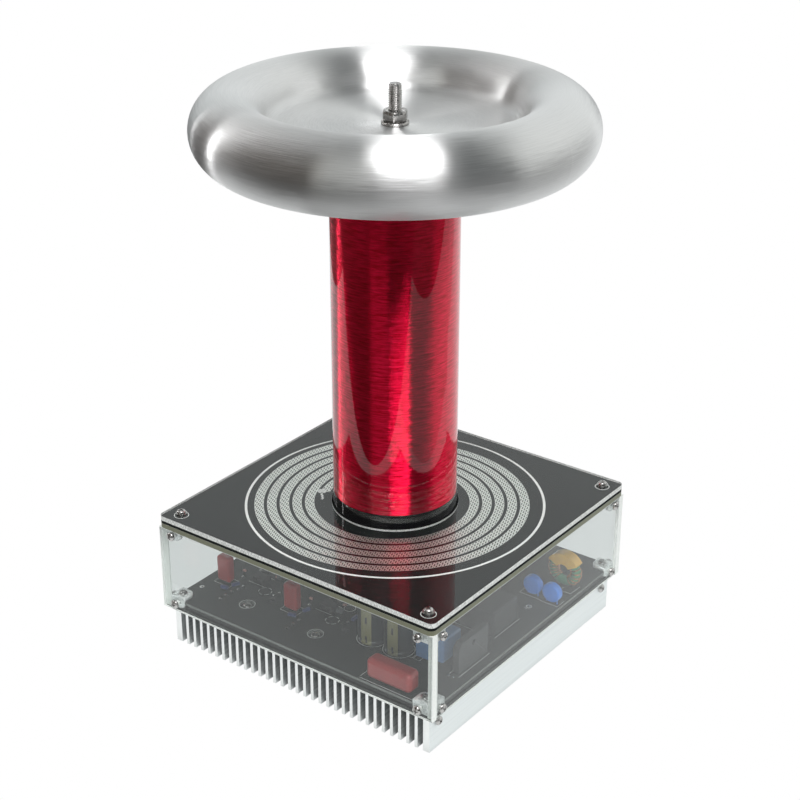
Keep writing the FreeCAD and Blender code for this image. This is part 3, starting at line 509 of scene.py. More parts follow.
for x, y, radius, width in ((-55.3, -76.0, 4.9, 0.45), (-0.6, -76.3, 4.9, 0.45), (-1.7, -41.6, 3.6, 0.30),
                            (29.8, -59.4, 9.6, 0.5), (49.3, -59.4, 9.6, 0.5), (82.1, 24.1, 1.6, 0.5),
                            (-91.9, -77.3, 1.2, 0.5)):
    printed_ring(x, y, radius, width)
for x, y in ((-56.4, -57.7), (-1.8, -58.7)):
    for start in range(0, 360, 60):
        printed_ring(x, y, 4.2, 0.35, start, 42)
for x0, y0, x1, y1 in ((56.6, -62.2, 61.2, -54.8), (61.9, -62.2, 66.5, -54.8), (85.0, -64.8, 91.6, -33.2),
                       (-90.5, -67.7, -77.5, -58.7), (-35.7, -68.0, -22.7, -59.0)):
    printed((x0, y0), (x1, y0), (x1, y1), (x0, y1), closed=True)
for points in (((85.1, -18.3), (85.1, 8.7)), ((55.2, -18.4), (69.9, -18.4)), ((79.8, 21.6), (84.1, 21.6)),
               ((82.0, 20.2), (82.0, 23.0)), ((94.6, 51.9), (95.2, 62.6)),
               ((94.6, 51.9), (87.1, 51.9), (87.1, 56.6)), ((68.2, 43.2), (68.2, 34.8), (83.2, 34.8)),
               ((83.6, 34.0), (96.2, 34.0), (96.2, 42.2)), ((48.5, -96.4), (86.6, -96.4)),
               ((48.2, -95.0), (48.2, -80.0))):
    printed(*points)
for x, y in ((-66.7, -49.2), (-12.2, -49.2)):
    for side in (-5.2, 5.2):
        printed((x - 6.2, y + side), (x + 6.2, y + side))
stand_in("board_print", lines, [print_finish])

tin_finish = grained("solder_tin", 1200, depth=0.05, Metallic=1.0, Base_Color=(0.74, 0.74, 0.72),
                     Roughness=0.22)
dot = bmesh.new()
lathe(dot, [(1.0 * mm, 0), (0.85 * mm, 0.22 * mm), (0.45 * mm, 0.42 * mm), (0, 0.5 * mm)], segments=14)
dot_spots = [(-75.3, -40.3), (90.1, 64.9), (85.8, -66.4), (88.6, -66.4), (85.2, -31.2), (-91.9, -77.3),
             (-34.0, -50.2), (-36.5, -53.7), (-71.5, -61.7), (-71.5, -66.2), (-79.5, -52.7), (-24.5, -53.2),
             (5.5, -57.7), (7.0, -54.7), (-49.0, -58.2), (-48.0, -54.2), (82.1, 24.1), (54.8, 14.0)]
dot_places = [((x * mm, y * mm, board_top), up, 0.0) for x, y in dot_spots]
repeated("solder_dots", as_mesh("solder_dot", dot), dot_places, tin_finish)


def soft_box(size, corner_radius):
    """A small moulded block with eased edges, standing at the origin, in millimetres."""
    shape = bmesh.new()
    stretch = Matrix.Diagonal((size[0] * mm, size[1] * mm, size[2] * mm, 1))
    bmesh.ops.create_cube(shape, size=1, matrix=Matrix.Translation((0, 0, size[2] / 2 * mm)) @ stretch)
    bmesh.ops.bevel(shape, geom=list(shape.edges), offset=corner_radius * mm, offset_type="OFFSET",
                    segments=2, affect="EDGES", profile=0.5)
    return as_mesh("small_part", shape)


def plain_finish(name, colour, roughness, metallic=0.0, grain=0.02, coat=0.0):
    """A moulded or dipped finish with faint mottling in its colour and a fine grain."""
    stops = [(0.3, tuple(0.8 * c for c in colour)), (0.75, tuple(min(1.0, 1.15 * c) for c in colour))]
    return grained(name, 600, 5, grain, 0.6, stops, Roughness=roughness, Metallic=metallic,
                   Coat_Weight=coat, Coat_Roughness=0.08)


small_parts = (
    ("board_resistors", (5.2, 2.1, 2.0), plain_finish("resistor_blue", (0.03, 0.05, 0.16), 0.4),
     ((-79.0, -70.4, 0.2), (-75.8, -63.6, 1.2), (-21.0, -60.0, 1.3), (-24.5, -69.7, 0.3),
      (8.5, -49.7, 1.57))),
    ("board_diodes", (3.8, 2.2, 1.9), plain_finish("diode_black", (0.02, 0.02, 0.022), 0.4),
     ((-44.0, -49.7, 0.0), (-45.5, -64.2, 0.9), (12.0, -63.7, 0.9), (-70.5, -41.2, 0.0), (-16.0, -40.7, 0.0),
      (67.2, -31.0, 0.0), (57.2, 21.0, 1.57))),
    ("board_chip_capacitors", (2.4, 1.4, 1.3), plain_finish("ceramic_pink", (0.42, 0.22, 0.20), 0.5),
     ((-82.6, -47.3, 0.0), (-61.0, -40.7, 0.4), (-27.5, -47.7, 0.0), (-6.0, -41.2, 0.4), (80.2, -13.0, 1.57),
      (52.2, -30.0, 0.0), (55.7, 30.5, 0.0))),
    ("board_grey_parts", (4.4, 3.4, 2.4), plain_finish("grey_moulding", (0.10, 0.11, 0.12), 0.5),
     ((-58.5, -40.2, 0.0), (-3.8, -48.7, 0.0), (61.2, 21.0, 0.0), (45.2, 40.0, 0.0))),
)
for name, size, finish, spots in small_parts:
    part_places = [((x * mm, y * mm, board_top), up, turn) for x, y, turn in spots]
    repeated(name, soft_box(size, 0.3), part_places, finish, smooth=50)

lead_end = soft_box((1.6, 1.0, 0.9), 0.25)
lead_places = []
for x, y in ((-73.1, -76.0), (-18.4, -76.3)):
    for step in (-1, 0, 1):
        lead_places.append(((x * mm, (y + step * 5.45) * mm, board_top), up, 0.0))
repeated("device_lead_joints", lead_end, lead_places, tin_finish, smooth=50)


# Corner brackets. Three-way die-cast corners, bright plated, screwed to two walls and to the board
# below or the plates above. Eight of them, four at the foot and four under the lid.

cast_finish = grained("bright_cast_bracket", 900, 5, 0.04, stops=[(0.3, 0.22), (0.8, 0.42)],
                      into="Roughness", Metallic=0.3, Base_Color=(0.95, 0.97, 0.97))
for node, name in (("bottom_brackets", "foot_corner_brackets"), ("top_brackets", "lid_corner_brackets")):
    stand_in(name, eased_copy(node, 50, 0.35), [cast_finish], node=node, smooth=50)


# Clear walls. Four sheets of 5 mm acrylic stand round the board, screwed to the brackets. Their
# faces are polished and their sawn edges are frosty white and catch the light; their downward foot
# edges are painted dark as the shade where they stand on the sink.

def clear_finish(name, tint, haze, bend=1.49):
    """Polished acrylic. It lets the view through with a little haze, and lamps shine through it."""
    finish, shader = new_finish(name, Base_Color=tint, Roughness=0.0, IOR=bend)
    tree = finish.node_tree
    smear = stretched_noise(tree, 30, 3)
    fill(shader, Transmission_Weight=ramp(smear, (0.2, 1 - 0.7 * haze), (0.8, 1 - 1.3 * haze)))
    open_to_lamps = add(tree, "ShaderNodeBsdfTransparent", {"Color": (0.93, 0.94, 0.93)})
    shadow_ray = add(tree, "ShaderNodeLightPath").outputs["Is Shadow Ray"]
    both = add(tree, "ShaderNodeMixShader", {"Fac": shadow_ray, 1: shader, 2: open_to_lamps})
    feed(tree.nodes["Material Output"].inputs["Surface"], both)
    return finish


def frosted_finish(name, colour, roughness, transmission, dark=0.82):
    """A sawn acrylic edge, fine-grained and more or less see-through, with darker saw marks."""
    return grained(name, (1600, 1600, 700), 4, 0.06, Roughness=roughness, IOR=1.49,
                   stops=[(0.3, tuple(dark * c for c in colour)), (0.7, colour)],
                   Transmission_Weight=transmission)


wall_finish = clear_finish("clear_acrylic_wall", (0.80, 0.83, 0.825), 0.003)
sawn_finish = frosted_finish("sawn_acrylic_edge", (0.97, 1.0, 0.97), 0.45, 0.0)
arris_finish = frosted_finish("acrylic_arris", (0.80, 0.84, 0.82), 0.25, 0.2)
# Painted shade: the walls' downward foot bevels are near black, standing for the shade in the joint on the
# sink.
wall_foot_painted_shade = frosted_finish("acrylic_foot_edge", (0.03, 0.035, 0.035), 0.25, 0.2)


def clear_sheet(node, name, across, finishes, arris=0.22, seat=0.0, foot=0.0):
    """A clear sheet from its CAD piece: faces, sawn sides, eased arrises and a foot, each in a finish.

    The inner face is set outward by seat, and the outer lower edge is eased by foot, in millimetres.
    """
    shape = merged_copy(node)
    axis = Vector(across)
    hair = 0.01 * mm
    if foot:
        bottom = min(v.co.z for v in shape.verts) + hair
        outer = max(abs(v.co.dot(axis)) for v in shape.verts) - hair
        ease(shape, [e for e in shape.edges
                     if all(v.co.z < bottom and abs(v.co.dot(axis)) > outer for v in e.verts)], foot, 1)
    inner = min(abs(v.co.dot(axis)) for v in shape.verts)
    for v in shape.verts:
        depth = v.co.dot(axis)
        if abs(depth) < inner + hair:
            v.co += axis * math.copysign(seat * mm, depth)
    rims = [e for e in sharp_edges(shape, 60)
            if any(abs(f.normal.dot(axis)) > 0.9 for f in e.link_faces) and e.calc_length() > 8 * mm]
    ease(shape, rims, arris, 1)
    for face in shape.faces:
        level = face.normal.dot(axis)
        face.material_index = 0 if level > 0.9 else 3 if level < -0.9 else 2 if abs(level) > 0.4 else 1
        # Downward arrises take the fifth finish, which for the walls is the painted shade at the foot.
        if len(finishes) > 4 and face.material_index == 2 and face.normal.z < -0.4:
            face.material_index = 4
    stand_in(name, shape, finishes, node=node, smooth=20)


wall_finishes = [wall_finish, sawn_finish, arris_finish, wall_finish, wall_foot_painted_shade]
for node, name, across in (("front_panel", "front_wall", (0, 1, 0)), ("back_panel", "back_wall", (0, 1, 0)),
                           ("left_panel", "left_wall", (1, 0, 0)), ("right_panel", "right_wall", (1, 0, 0))):
    clear_sheet(node, name, across, wall_finishes, 0.40, 0.04, 0.9)


# Electrolytic capacitors. Two cans of 18 mm in dark shrink sleeves with a gold stripe and dark
# dashes, the sleeve rolled over the rim of the bare aluminium lid. The lid's pressed cross is not modelled.

def between(value, low, high):
    """1 where a number lies between two bounds, and 0 elsewhere."""
    return (value > low) * (value < high)


sleeve_finish, sleeve_shader = new_finish("shrink_sleeve", Roughness=0.28, Coat_Weight=0.4,
                                          Coat_Roughness=0.1)
sleeve_tree = sleeve_finish.node_tree
sleeve_u, sleeve_v, _ = split(add(sleeve_tree, "ShaderNodeUVMap", uv_map="wrap"))
dash_pitch = 0.36
dash_rows = between(math_node("FRACT", sleeve_v / dash_pitch), 0.15, 0.50)
dashes = dash_rows * between(sleeve_u, 0.548, 0.572)
striped = mixed(between(sleeve_u, 0.495, 0.62), (0.012, 0.017, 0.022), (0.20, 0.19, 0.09))
fill(sleeve_shader, Base_Color=mixed(dashes, striped, (0.03, 0.03, 0.025)))
bump(sleeve_shader, stretched_noise(sleeve_tree, (500, 500, 120)), 0.05)
lid_finish = plain_finish("can_lid_aluminium", (0.78, 0.79, 0.78), 0.32, metallic=1.0)

can_low, can_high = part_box("electrolytic_capacitors")
can_radius = (can_high.y - can_low.y) / 2
can_height = can_high.z - can_low.z
can_y = (can_high.y + can_low.y) / 2
can_centres = [(can_low.x + can_radius, can_y), (can_high.x - can_radius, can_y)]
cans = bmesh.new()
can_outline = [(can_radius - 0.6 * mm, 0), (can_radius, 0.6 * mm), (can_radius, 1.9 * mm),
               (can_radius - 0.5 * mm, 2.5 * mm), (can_radius - 0.6 * mm, 3.0 * mm),
               (can_radius - 0.5 * mm, 3.5 * mm), (can_radius, 4.1 * mm),
               (can_radius, can_height - 1.1 * mm), (can_radius - 0.35 * mm, can_height - 0.35 * mm),
               (can_radius - 1.1 * mm, can_height), (can_radius - 1.5 * mm, can_height - 0.3 * mm)]
lid_outline = [(can_radius - 1.5 * mm, can_height - 0.3 * mm), (0, can_height - 0.35 * mm)]
wrap = cans.loops.layers.uv.new("wrap")
for x, y in can_centres:
    for face in lathe(cans, can_outline, 48, (x, y, can_low.z)):
        for loop in face.loops:
            off = loop.vert.co - Vector((x, y, 0))
            angle = math.atan2(off.y, off.x) / (2 * math.pi)
            middle = face.calc_center_median() - Vector((x, y, 0))
            reference = math.atan2(middle.y, middle.x) / (2 * math.pi)
            angle += round(reference - angle)
            loop[wrap].uv = (angle + 0.78, (off.z - can_low.z) / can_height)
    for face in lathe(cans, lid_outline, 48, (x, y, can_low.z)):
        face.material_index = 1
stand_in("capacitor_cans", cans, [sleeve_finish, lid_finish], node="electrolytic_capacitors")


# Film capacitors. Polypropylene film dipped in red epoxy, with soft corners and a glossy skin.

dip_finish = grained("red_epoxy_dip", 160, 4, 0.25, 0.5,
                     [(0.3, (0.26, 0.018, 0.018)), (0.75, (0.36, 0.030, 0.028))],
                     Roughness=0.3, Coat_Weight=0.5, Coat_Roughness=0.12, Specular_IOR_Level=0.5)
dress(dip_finish, "film_capacitors", "large_film_capacitor")


# Relay, supply module and rectifier. Moulded boxes soldered to the board: the relay's case is blue,
# the supply's is black, and the rectifier stands on edge with a hole for its fixing screw.

relay_finish = plain_finish("blue_relay_case", (0.11, 0.24, 0.48), 0.25, coat=0.6)
supply_finish = plain_finish("black_supply_case", (0.030, 0.031, 0.033), 0.45)
rectifier_finish = plain_finish("rectifier_moulding", (0.055, 0.055, 0.058), 0.5)
for node, name, finish, easing in (("relay", "relay_case", relay_finish, 0.3),
                                   ("auxiliary_supply", "supply_case", supply_finish, 0.3),
                                   ("bridge_rectifier", "rectifier_body", rectifier_finish, 0.25)):
    stand_in(name, eased_copy(node, 35, easing), [finish], node=node, smooth=20)


# Varistors, choke, driver chips, feed posts and feedback ring. Blue dipped discs, a green ring core
# with two copper windings under yellow tape, small black chips, turned brass posts, and a second core.

dress(plain_finish("blue_epoxy_dip", (0.04, 0.24, 0.85), 0.28, grain=0.12, coat=0.6), "varistors")
dress(plain_finish("green_coated_core", (0.05, 0.26, 0.13), 0.4), "choke_core", "feedback_ring")
copper_finish = grained("enamelled_copper", 900, depth=0.02, Metallic=1.0, Base_Color=(0.80, 0.40, 0.20),
                        Roughness=0.25, Coat_Weight=0.3)
dress(copper_finish, "choke_windings")
dress(plain_finish("yellow_tape", (0.95, 0.52, 0.06), 0.25, coat=0.6), "choke_tape")
dress(moulding_finish, "driver_chips")
dress(plain_finish("turned_brass", (0.72, 0.52, 0.22), 0.3, metallic=1.0), "primary_feed_posts")


# Mains inlet. A black panel inlet in the back wall, moulded in one with its flange, and three
# plated blades.

inlet_finish = plain_finish("inlet_moulding", (0.022, 0.022, 0.024), 0.42)
stand_in("inlet_body", eased_copy("mains_inlet", 40, 0.3), [inlet_finish], node="mains_inlet", smooth=50)
dress(plain_finish("plated_blades", (0.74, 0.72, 0.66), 0.25, metallic=1.0), "mains_pins")


# Lower plate, primary board and clear cover. A clear plate closes the case, the black board with
# the printed coil lies on it, and a clear cover is screwed down over both.

plate_finish = clear_finish("clear_acrylic_plate", (0.93, 0.96, 0.92), 0.01)
plate_side_finish = frosted_finish("plate_sawn_side", (0.24, 0.25, 0.16), 0.35, 0.3)
bright_arris_finish = frosted_finish("bright_acrylic_arris", (0.90, 0.92, 0.88), 0.3, 0.1)
clear_sheet("lower_plate", "lower_clear_plate", (0, 0, 1),
            [plate_finish, plate_side_finish, bright_arris_finish, plate_finish])

coil_board_finish = grained("primary_board_mask", 2600, 2, 0.004, 0.3,
                            [(0.3, (0.0105, 0.0125, 0.0125)), (0.8, (0.0125, 0.0150, 0.0150))],
                            Roughness=0.5, Specular_IOR_Level=0.05)
dress(coil_board_finish, "primary_board")

cover_finish = clear_finish("clear_acrylic_cover", (0.98, 0.985, 0.98), 0.004)
wetted_finish = clear_finish("cover_underside", (1.0, 1.0, 1.0), 0.0, 1.0)
cover_side_finish = frosted_finish("cover_sawn_side", (0.97, 0.99, 0.97), 0.4, 0.0, 0.35)
clear_sheet("top_cover", "clear_lid", (0, 0, 1),
            [cover_finish, cover_side_finish, bright_arris_finish, wetted_finish], 0.35)

mark_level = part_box("primary_board")[1].z + 0.04 * mm
mark_lines = bmesh.new()
ribbon(mark_lines, arc_points(0, 0, 92.1, steps=160), 1.6 * mm, mark_level, True)
for x, y in ((-93, -93), (-93, 93), (93, -93), (93, 93)):
    ribbon(mark_lines, arc_points(x, y, 4.35), 0.45 * mm, mark_level, True)
coil_mark_finish = grained("white_circle_print", 3000, depth=0.01, Base_Color=(0.86, 0.87, 0.86),
                           Roughness=0.5)
stand_in("primary_board_circle", mark_lines, [coil_mark_finish])


# Printed primary coil. A tinned copper track of five turns and a quarter on the board, its surface
# tinned through a mesh of short slanting slots. Each half turn is an arc on one of two centres.

track_low, track_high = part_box("primary_spiral")
half_turns, tail, start_turn = 10, 75.0, -158.0
start_radius, pitch, track_width = 45.2 * mm, 7.8 * mm, 5.75 * mm
whole_turns = half_turns / 2 + tail / 360

spiral_tree, given = geometry_tree("flat_spiral_track", Int=["Steps"], Float=[
    "Start Radius", "Pitch", "Width", "Thickness", "Level", "Turns", "Start Angle"])
step, coil_pitch = Number(add(spiral_tree, "GeometryNodeInputIndex").outputs[0]), Number(given["Pitch"])
turns_here = step / given["Steps"] * given["Turns"]
half_turn = math_node("FLOOR", turns_here * 2.0)
side = 1.0 - math_node("FLOORED_MODULO", half_turn, 2.0) * 2.0
quarter_pitch = coil_pitch / 4.0
arc_radius = Number(given["Start Radius"]) + quarter_pitch + half_turn * (coil_pitch / 2.0)
angle = turns_here * (-2 * math.pi)
arc_place = add(spiral_tree, "ShaderNodeCombineXYZ",
                {"X": arc_radius * math_node("COSINE", angle) - side * quarter_pitch,
                 "Y": arc_radius * math_node("SINE", angle), "Z": given["Level"]})
turned = add(spiral_tree, "ShaderNodeVectorRotate",
             {"Vector": arc_place, "Angle": given["Start Angle"]}, rotation_type="Z_AXIS")
line = add(spiral_tree, "GeometryNodeMeshLine", {"Count": given["Steps"]})
wound = add(spiral_tree, "GeometryNodeSetPosition", {"Geometry": line, "Position": turned})
centre_line = add(spiral_tree, "GeometryNodeMeshToCurve", {"Mesh": wound})
section = add(spiral_tree, "GeometryNodeCurvePrimitiveQuadrilateral",
              {"Width": given["Width"], "Height": given["Thickness"]})
across_section = split(add(spiral_tree, "GeometryNodeInputPosition"))[0]
marked_section = add(spiral_tree, "GeometryNodeStoreNamedAttribute",
                     {"Geometry": section, "Name": "across", "Value": across_section},
                     data_type="FLOAT", domain="POINT")
track_mesh = add(spiral_tree, "GeometryNodeCurveToMesh",
                 {"Curve": centre_line, "Profile Curve": marked_section, "Fill Caps": True})
close_tree(spiral_tree, track_mesh, given["Finish"])

column_pitch, row_pitch, slot_slant, slot_reach = 1.45 * mm, 3.5 * mm, 0.24, 2.6 * mm
mesh_cosine, mesh_sine, mesh_start = 0.799, 0.601, 0.3
track_finish, track_shader = new_finish("slotted_tin_track")
track_tree = track_finish.node_tree
track_x, track_y, _ = split(own_place(track_tree))
rightward = track_x * mesh_cosine + track_y * mesh_sine
frontward = track_x * mesh_sine + track_y * -mesh_cosine
mesh_column = (rightward + frontward * slot_slant + mesh_start) / column_pitch
odd_column = math_node("FLOORED_MODULO", math_node("FLOOR", mesh_column), 2.0)
mesh_row = (frontward + mesh_start) / row_pitch + odd_column * 0.5
across_track = Number(add(track_tree, "ShaderNodeAttribute", attribute_name="across").outputs["Fac"])
slots = between(math_node("FRACT", mesh_column), 0.26, 0.74)
slots = slots * between(math_node("FRACT", mesh_row), 0.18, 0.80)
slots = slots * between(across_track, -slot_reach, slot_reach)
tin_colour = ramp(stretched_noise(track_tree, 700, 3),
                  (0.3, (0.84, 0.86, 0.82)), (0.75, (0.92, 0.93, 0.89)))
raised = 1.0 - slots
fill(track_shader, Base_Color=mixed(slots, tin_colour, (0.075, 0.085, 0.08)), Metallic=raised,
     Roughness=slots * 0.2 + 0.30)
bump(track_shader, raised, 0.02, 0.3)

track_thickness = track_high.z - track_low.z - 0.03 * mm
track = grown(spiral_tree, Start_Radius=start_radius, Pitch=pitch, Width=track_width,
              Thickness=track_thickness, Level=track_low.z + track_thickness / 2, Turns=whole_turns,
              Start_Angle=math.radians(start_turn), Steps=760, Finish=track_finish)
stand_in("primary_track", track, [track_finish], node="primary_spiral")

track_end = bmesh.new()
end_level = track_low.z + track_thickness
end_x, end_y, end_radius = -43.9, -17.7, track_width / mm / 2
ribbon(track_end, arc_points(end_x, end_y, end_radius, steps=24), 0.1 * mm, end_level, True)
nose = arc_points(end_x, end_y, end_radius - 0.1, steps=24)
track_end.faces.new([track_end.verts.new((x, y, end_level)) for x, y in nose])
ribbon(track_end, [(x * mm, y * mm) for x, y in ((-42.6, -19.0), (-41.2, -21.6), (-39.6, -22.3),
                                                 (-39.2, -23.6), (-37.7, -24.4), (-37.4, -26.2))],
       1.3 * mm, end_level)
stand_in("primary_track_lead", track_end, [tin_finish])


# Secondary coil. About a thousand turns of fine red enamelled wire in one close layer on a plastic
# tube, under thick clear varnish, with a glossy black band round the foot.

wire_pitch, turn_wander, least_tilt, tilt_range, sway = 0.21 * mm, 6.0, 0.38, 0.47, 0.22
wire_finish, wire_shader = new_finish(
    "varnished_red_wire", Metallic=1.0, Roughness=0.28, Anisotropic=1.0, Anisotropic_Rotation=0.25,
    Coat_Weight=1.0, Coat_Roughness=0.0, Coat_IOR=1.5)
wire_tree = wire_finish.node_tree
wire_streaks = stretched_noise(wire_tree, (110, 110, 1100))
wire_x, wire_y, wire_z = split(own_place(wire_tree))
in_turn = math_node("FRACT", wire_z * (1 / wire_pitch) + wire_streaks * turn_wander)
tilt = in_turn * tilt_range + least_tilt
sideways = (stretched_noise(wire_tree, (110, 110, 1000), 3) - 0.5) * sway
outward = add(wire_tree, "ShaderNodeCombineXYZ", {"X": wire_x, "Y": wire_y})
outward = add(wire_tree, "ShaderNodeVectorMath", {0: outward}, operation="NORMALIZE")
outward = add(wire_tree, "ShaderNodeVectorRotate", {"Vector": outward, "Angle": sideways},
              rotation_type="Z_AXIS")
outward = add(wire_tree, "ShaderNodeVectorMath",
              {0: outward, "Scale": math_node("SQRT", 1.0 - tilt * tilt)}, operation="SCALE")
upward = add(wire_tree, "ShaderNodeCombineXYZ", {"Z": tilt})
fill(wire_shader,
     Base_Color=ramp(wire_streaks, (0.34, (0.44, 0.001, 0.012)), (0.66, (0.84, 0.009, 0.058))),
     Normal=add(wire_tree, "ShaderNodeVectorMath", {0: outward, 1: upward}, operation="ADD"),
     Tangent=add(wire_tree, "ShaderNodeTangent", direction_type="RADIAL", axis="Z"))
bump(wire_shader, stretched_noise(wire_tree, (30, 30, 9), 1), 0.3, 0.25, "Coat Normal")
dress(wire_finish, "coil_winding")

dress(plain_finish("coil_tube_plastic", (0.60, 0.58, 0.52), 0.4), "coil_tube", "coil_base_plug")
dress(plain_finish("black_top_cap", (0.02, 0.02, 0.022), 0.4), "coil_top_cap")
band_finish = grained("black_foot_band", (60, 60, 400), depth=0.08, strength=0.5,
                      Base_Color=(0.006, 0.006, 0.007), Roughness=0.10, Coat_Weight=1.0,
                      Coat_Roughness=0.02)
dress(band_finish, "coil_collar")

plug_head_radius = 4.0 * mm
base_screw = pan_screw(plug_head_radius, 2.8 * mm, 2.0 * mm, 14.0 * mm)
plug_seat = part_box("lower_plate")[0].z
screw_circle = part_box("coil_base_screws")[1].y - plug_head_radius
around = [math.pi / 2 + index * 2 * math.pi / 3 for index in range(3)]
base_places = [((screw_circle * math.cos(a), screw_circle * math.sin(a), plug_seat), down, index)
               for index, a in enumerate(around)]
repeated("plug_screws", base_screw, base_places, steel_finish, node="coil_base_screws")


# Ring-shaped top load. Two discs of aluminium sheet spun into half rings, laid back to back and
# brushed round and round, so that light runs across the brushing in streaks.

brush_lines, lines_round, scratch_height = 2400.0, 6.0, 0.7
spun_finish, spun_shader = new_finish("brushed_spun_aluminium", Metallic=1.0, Anisotropic=1.0,
                                      Anisotropic_Rotation=0.25)
spun_tree = spun_finish.node_tree
spun_x, spun_y, spun_z = split(own_place(spun_tree))
spun_radius = math_node("SQRT", math_node("POWER", spun_x, 2.0) + math_node("POWER", spun_y, 2.0))
brush_place = add(spun_tree, "ShaderNodeCombineXYZ",
                  {"X": spun_radius * brush_lines, "Y": math_node("ARCTAN2", spun_y, spun_x) * lines_round,
                   "Z": spun_z * brush_lines})
brushing = Number(add(spun_tree, "ShaderNodeTexNoise", {
    "Vector": brush_place, "Scale": 1.0, "Detail": 5.0, "Roughness": 0.65}).outputs["Fac"])
round_ring = add(spun_tree, "ShaderNodeTangent", direction_type="RADIAL", axis="Z")
spun_facing = add(spun_tree, "ShaderNodeNewGeometry").outputs["Normal"]
over_ring = add(spun_tree, "ShaderNodeVectorMath", {0: spun_facing, 1: round_ring},
                operation="CROSS_PRODUCT")
scratches = add(spun_tree, "ShaderNodeVectorMath",
                {0: over_ring, "Scale": (brushing - 0.5) * scratch_height}, operation="SCALE")
tilted = add(spun_tree, "ShaderNodeVectorMath", {0: spun_facing, 1: scratches}, operation="ADD")
tilted = add(spun_tree, "ShaderNodeVectorMath", {0: tilted}, operation="NORMALIZE")
fill(spun_shader, Base_Color=ramp(brushing, (0.25, 0.72), (0.75, 0.84)),
     Roughness=ramp(brushing, (0.2, 0.31), (0.8, 0.39)), Tangent=round_ring, Normal=tilted)
dress(spun_finish, "toroid_upper_shell", "toroid_lower_shell")


# Stud, nuts and washers. A stainless M8 stud stands in the coil's top cap, and a plain washer and
# a hexagon nut clamp the ring to the cap. The nut and the washer come off by hand and spanner.

stainless_finish = grained("stainless_steel", (1500, 1500, 400), stops=[(0.3, 0.18), (0.8, 0.36)],
                           into="Roughness", Metallic=1.0, Base_Color=(0.42, 0.41, 0.40))

thread_tree, asked = geometry_tree("cut_thread", Int=["Rows"], Float=[
    "Radius", "Pitch", "Depth", "Length", "Bottom", "Lead In"])
blank = add(thread_tree, "GeometryNodeMeshCylinder",
            {"Vertices": 40, "Side Segments": asked["Rows"], "Radius": asked["Radius"],
             "Depth": asked["Length"]}, fill_type="NGON")
blank_x, blank_y, blank_z = split(add(thread_tree, "GeometryNodeInputPosition"))
radius, length = Number(asked["Radius"]), Number(asked["Length"])
height = blank_z + length / 2.0
turn_share = math_node("ARCTAN2", blank_y, blank_x) / (2 * math.pi)
phase = math_node("FRACT", height / asked["Pitch"] - turn_share)
groove = math_node("MINIMUM", math_node("ABSOLUTE", phase * 2.0 - 1.0) * 1.25, 1.0)
to_end = math_node("MINIMUM", height, length - height)
end_cut = math_node("MAXIMUM", Number(asked["Lead In"]) - to_end, 0.0)
spread = (radius - groove * asked["Depth"] - end_cut) / radius
threaded_place = add(thread_tree, "ShaderNodeCombineXYZ",
                     {"X": blank_x * spread, "Y": blank_y * spread, "Z": height + asked["Bottom"]})
threaded = add(thread_tree, "GeometryNodeSetPosition", {"Geometry": blank, "Position": threaded_place})
close_tree(thread_tree, threaded, asked["Finish"])

stud_low, stud_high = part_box("stud")
stud = grown(thread_tree, Radius=stud_high.x, Pitch=1.25 * mm, Depth=0.62 * mm,
             Length=stud_high.z - stud_low.z, Bottom=stud_low.z, Lead_In=0.7 * mm, Rows=320,
             Finish=stainless_finish)
stand_in("threaded_stud", stud, [stainless_finish], node="stud", smooth=60)

for node, name, body in (("top_nut", "clamp_nut", "nut"), ("top_washer", "clamp_washer", "washer"),
                         ("stud_lock_nut", "inner_nut", "apparatus"),
                         ("stud_lock_washer", "inner_washer", "apparatus")):
    stand_in(name, eased_copy(node, 25, 0.12), [stainless_finish], body, node, smooth=50)


# Floor, light and camera. A pale table with dark bounds on white and a painted shadow under the
# sink, a large soft panel overhead, two strips behind and a weak lamp in front, a studio of pale and
# dark walls, and the photograph's camera.

to_camera = Vector((0.60106, -0.79915, 0))
to_right = Vector((0.79918, 0.60109, 0))


def flat_sheet(name, corners, finish):
    """A flat sheet of the surroundings."""
    mesh = bpy.data.meshes.new(name)
    mesh.from_pydata(corners, [], [tuple(range(len(corners)))])
    mesh.materials.append(finish)
    return scene_object(name, mesh)


def seen_directly(tree):
    """1 for rays that see the room straight or only through clear sheets, 0 for reflections and light."""
    ray = add(tree, "ShaderNodeLightPath").outputs
    clear_way = (Number(ray["Glossy Depth"]) + ray["Diffuse Depth"] < 0.5) * ray["Is Transmission Ray"]
    return math_node("MAXIMUM", Number(ray["Is Camera Ray"]), clear_way)


floor_half, table_front, table_side, table_end = 12.0, -0.29, 0.29, 0.62
black = (0.03, 0.03, 0.03)
floor_finish, floor_shader = new_finish("pale_table", Base_Color=(0, 0, 0), Specular_IOR_Level=0,
                                        Roughness=1, Emission_Strength=1)
floor_x, floor_y, _ = split(own_place(floor_finish.node_tree))
off_x, off_y = math_node("ABSOLUTE", floor_x), math_node("ABSOLUTE", floor_y)
# Painted shadow: for reflections and light the glowing table is dark under the sink, standing for the sink's
# shadow.
painted_sink_shadow = ramp(math_node("MAXIMUM", off_x, off_y), (0.094, 0.02), (0.0985, 1.0))
table_colour = mixed(floor_x > table_side, (0.93, 0.95, 0.95), (0.60, 0.61, 0.61))
table_colour = mixed(off_x > table_end, table_colour, (0.08, 0.08, 0.08))
table_colour = mixed(floor_y < table_front, table_colour, black)
table_colour = mixed(painted_sink_shadow, black, table_colour)
table_colour = mixed(seen_directly(floor_finish.node_tree), table_colour, (1, 1, 1))
fill(floor_shader, Emission_Color=table_colour)
floor_finish.cycles.emission_sampling = "NONE"
floor = flat_sheet("table_top", [(-floor_half, -floor_half, 0), (floor_half, -floor_half, 0),
                                 (floor_half, floor_half, 0), (-floor_half, floor_half, 0)], floor_finish)

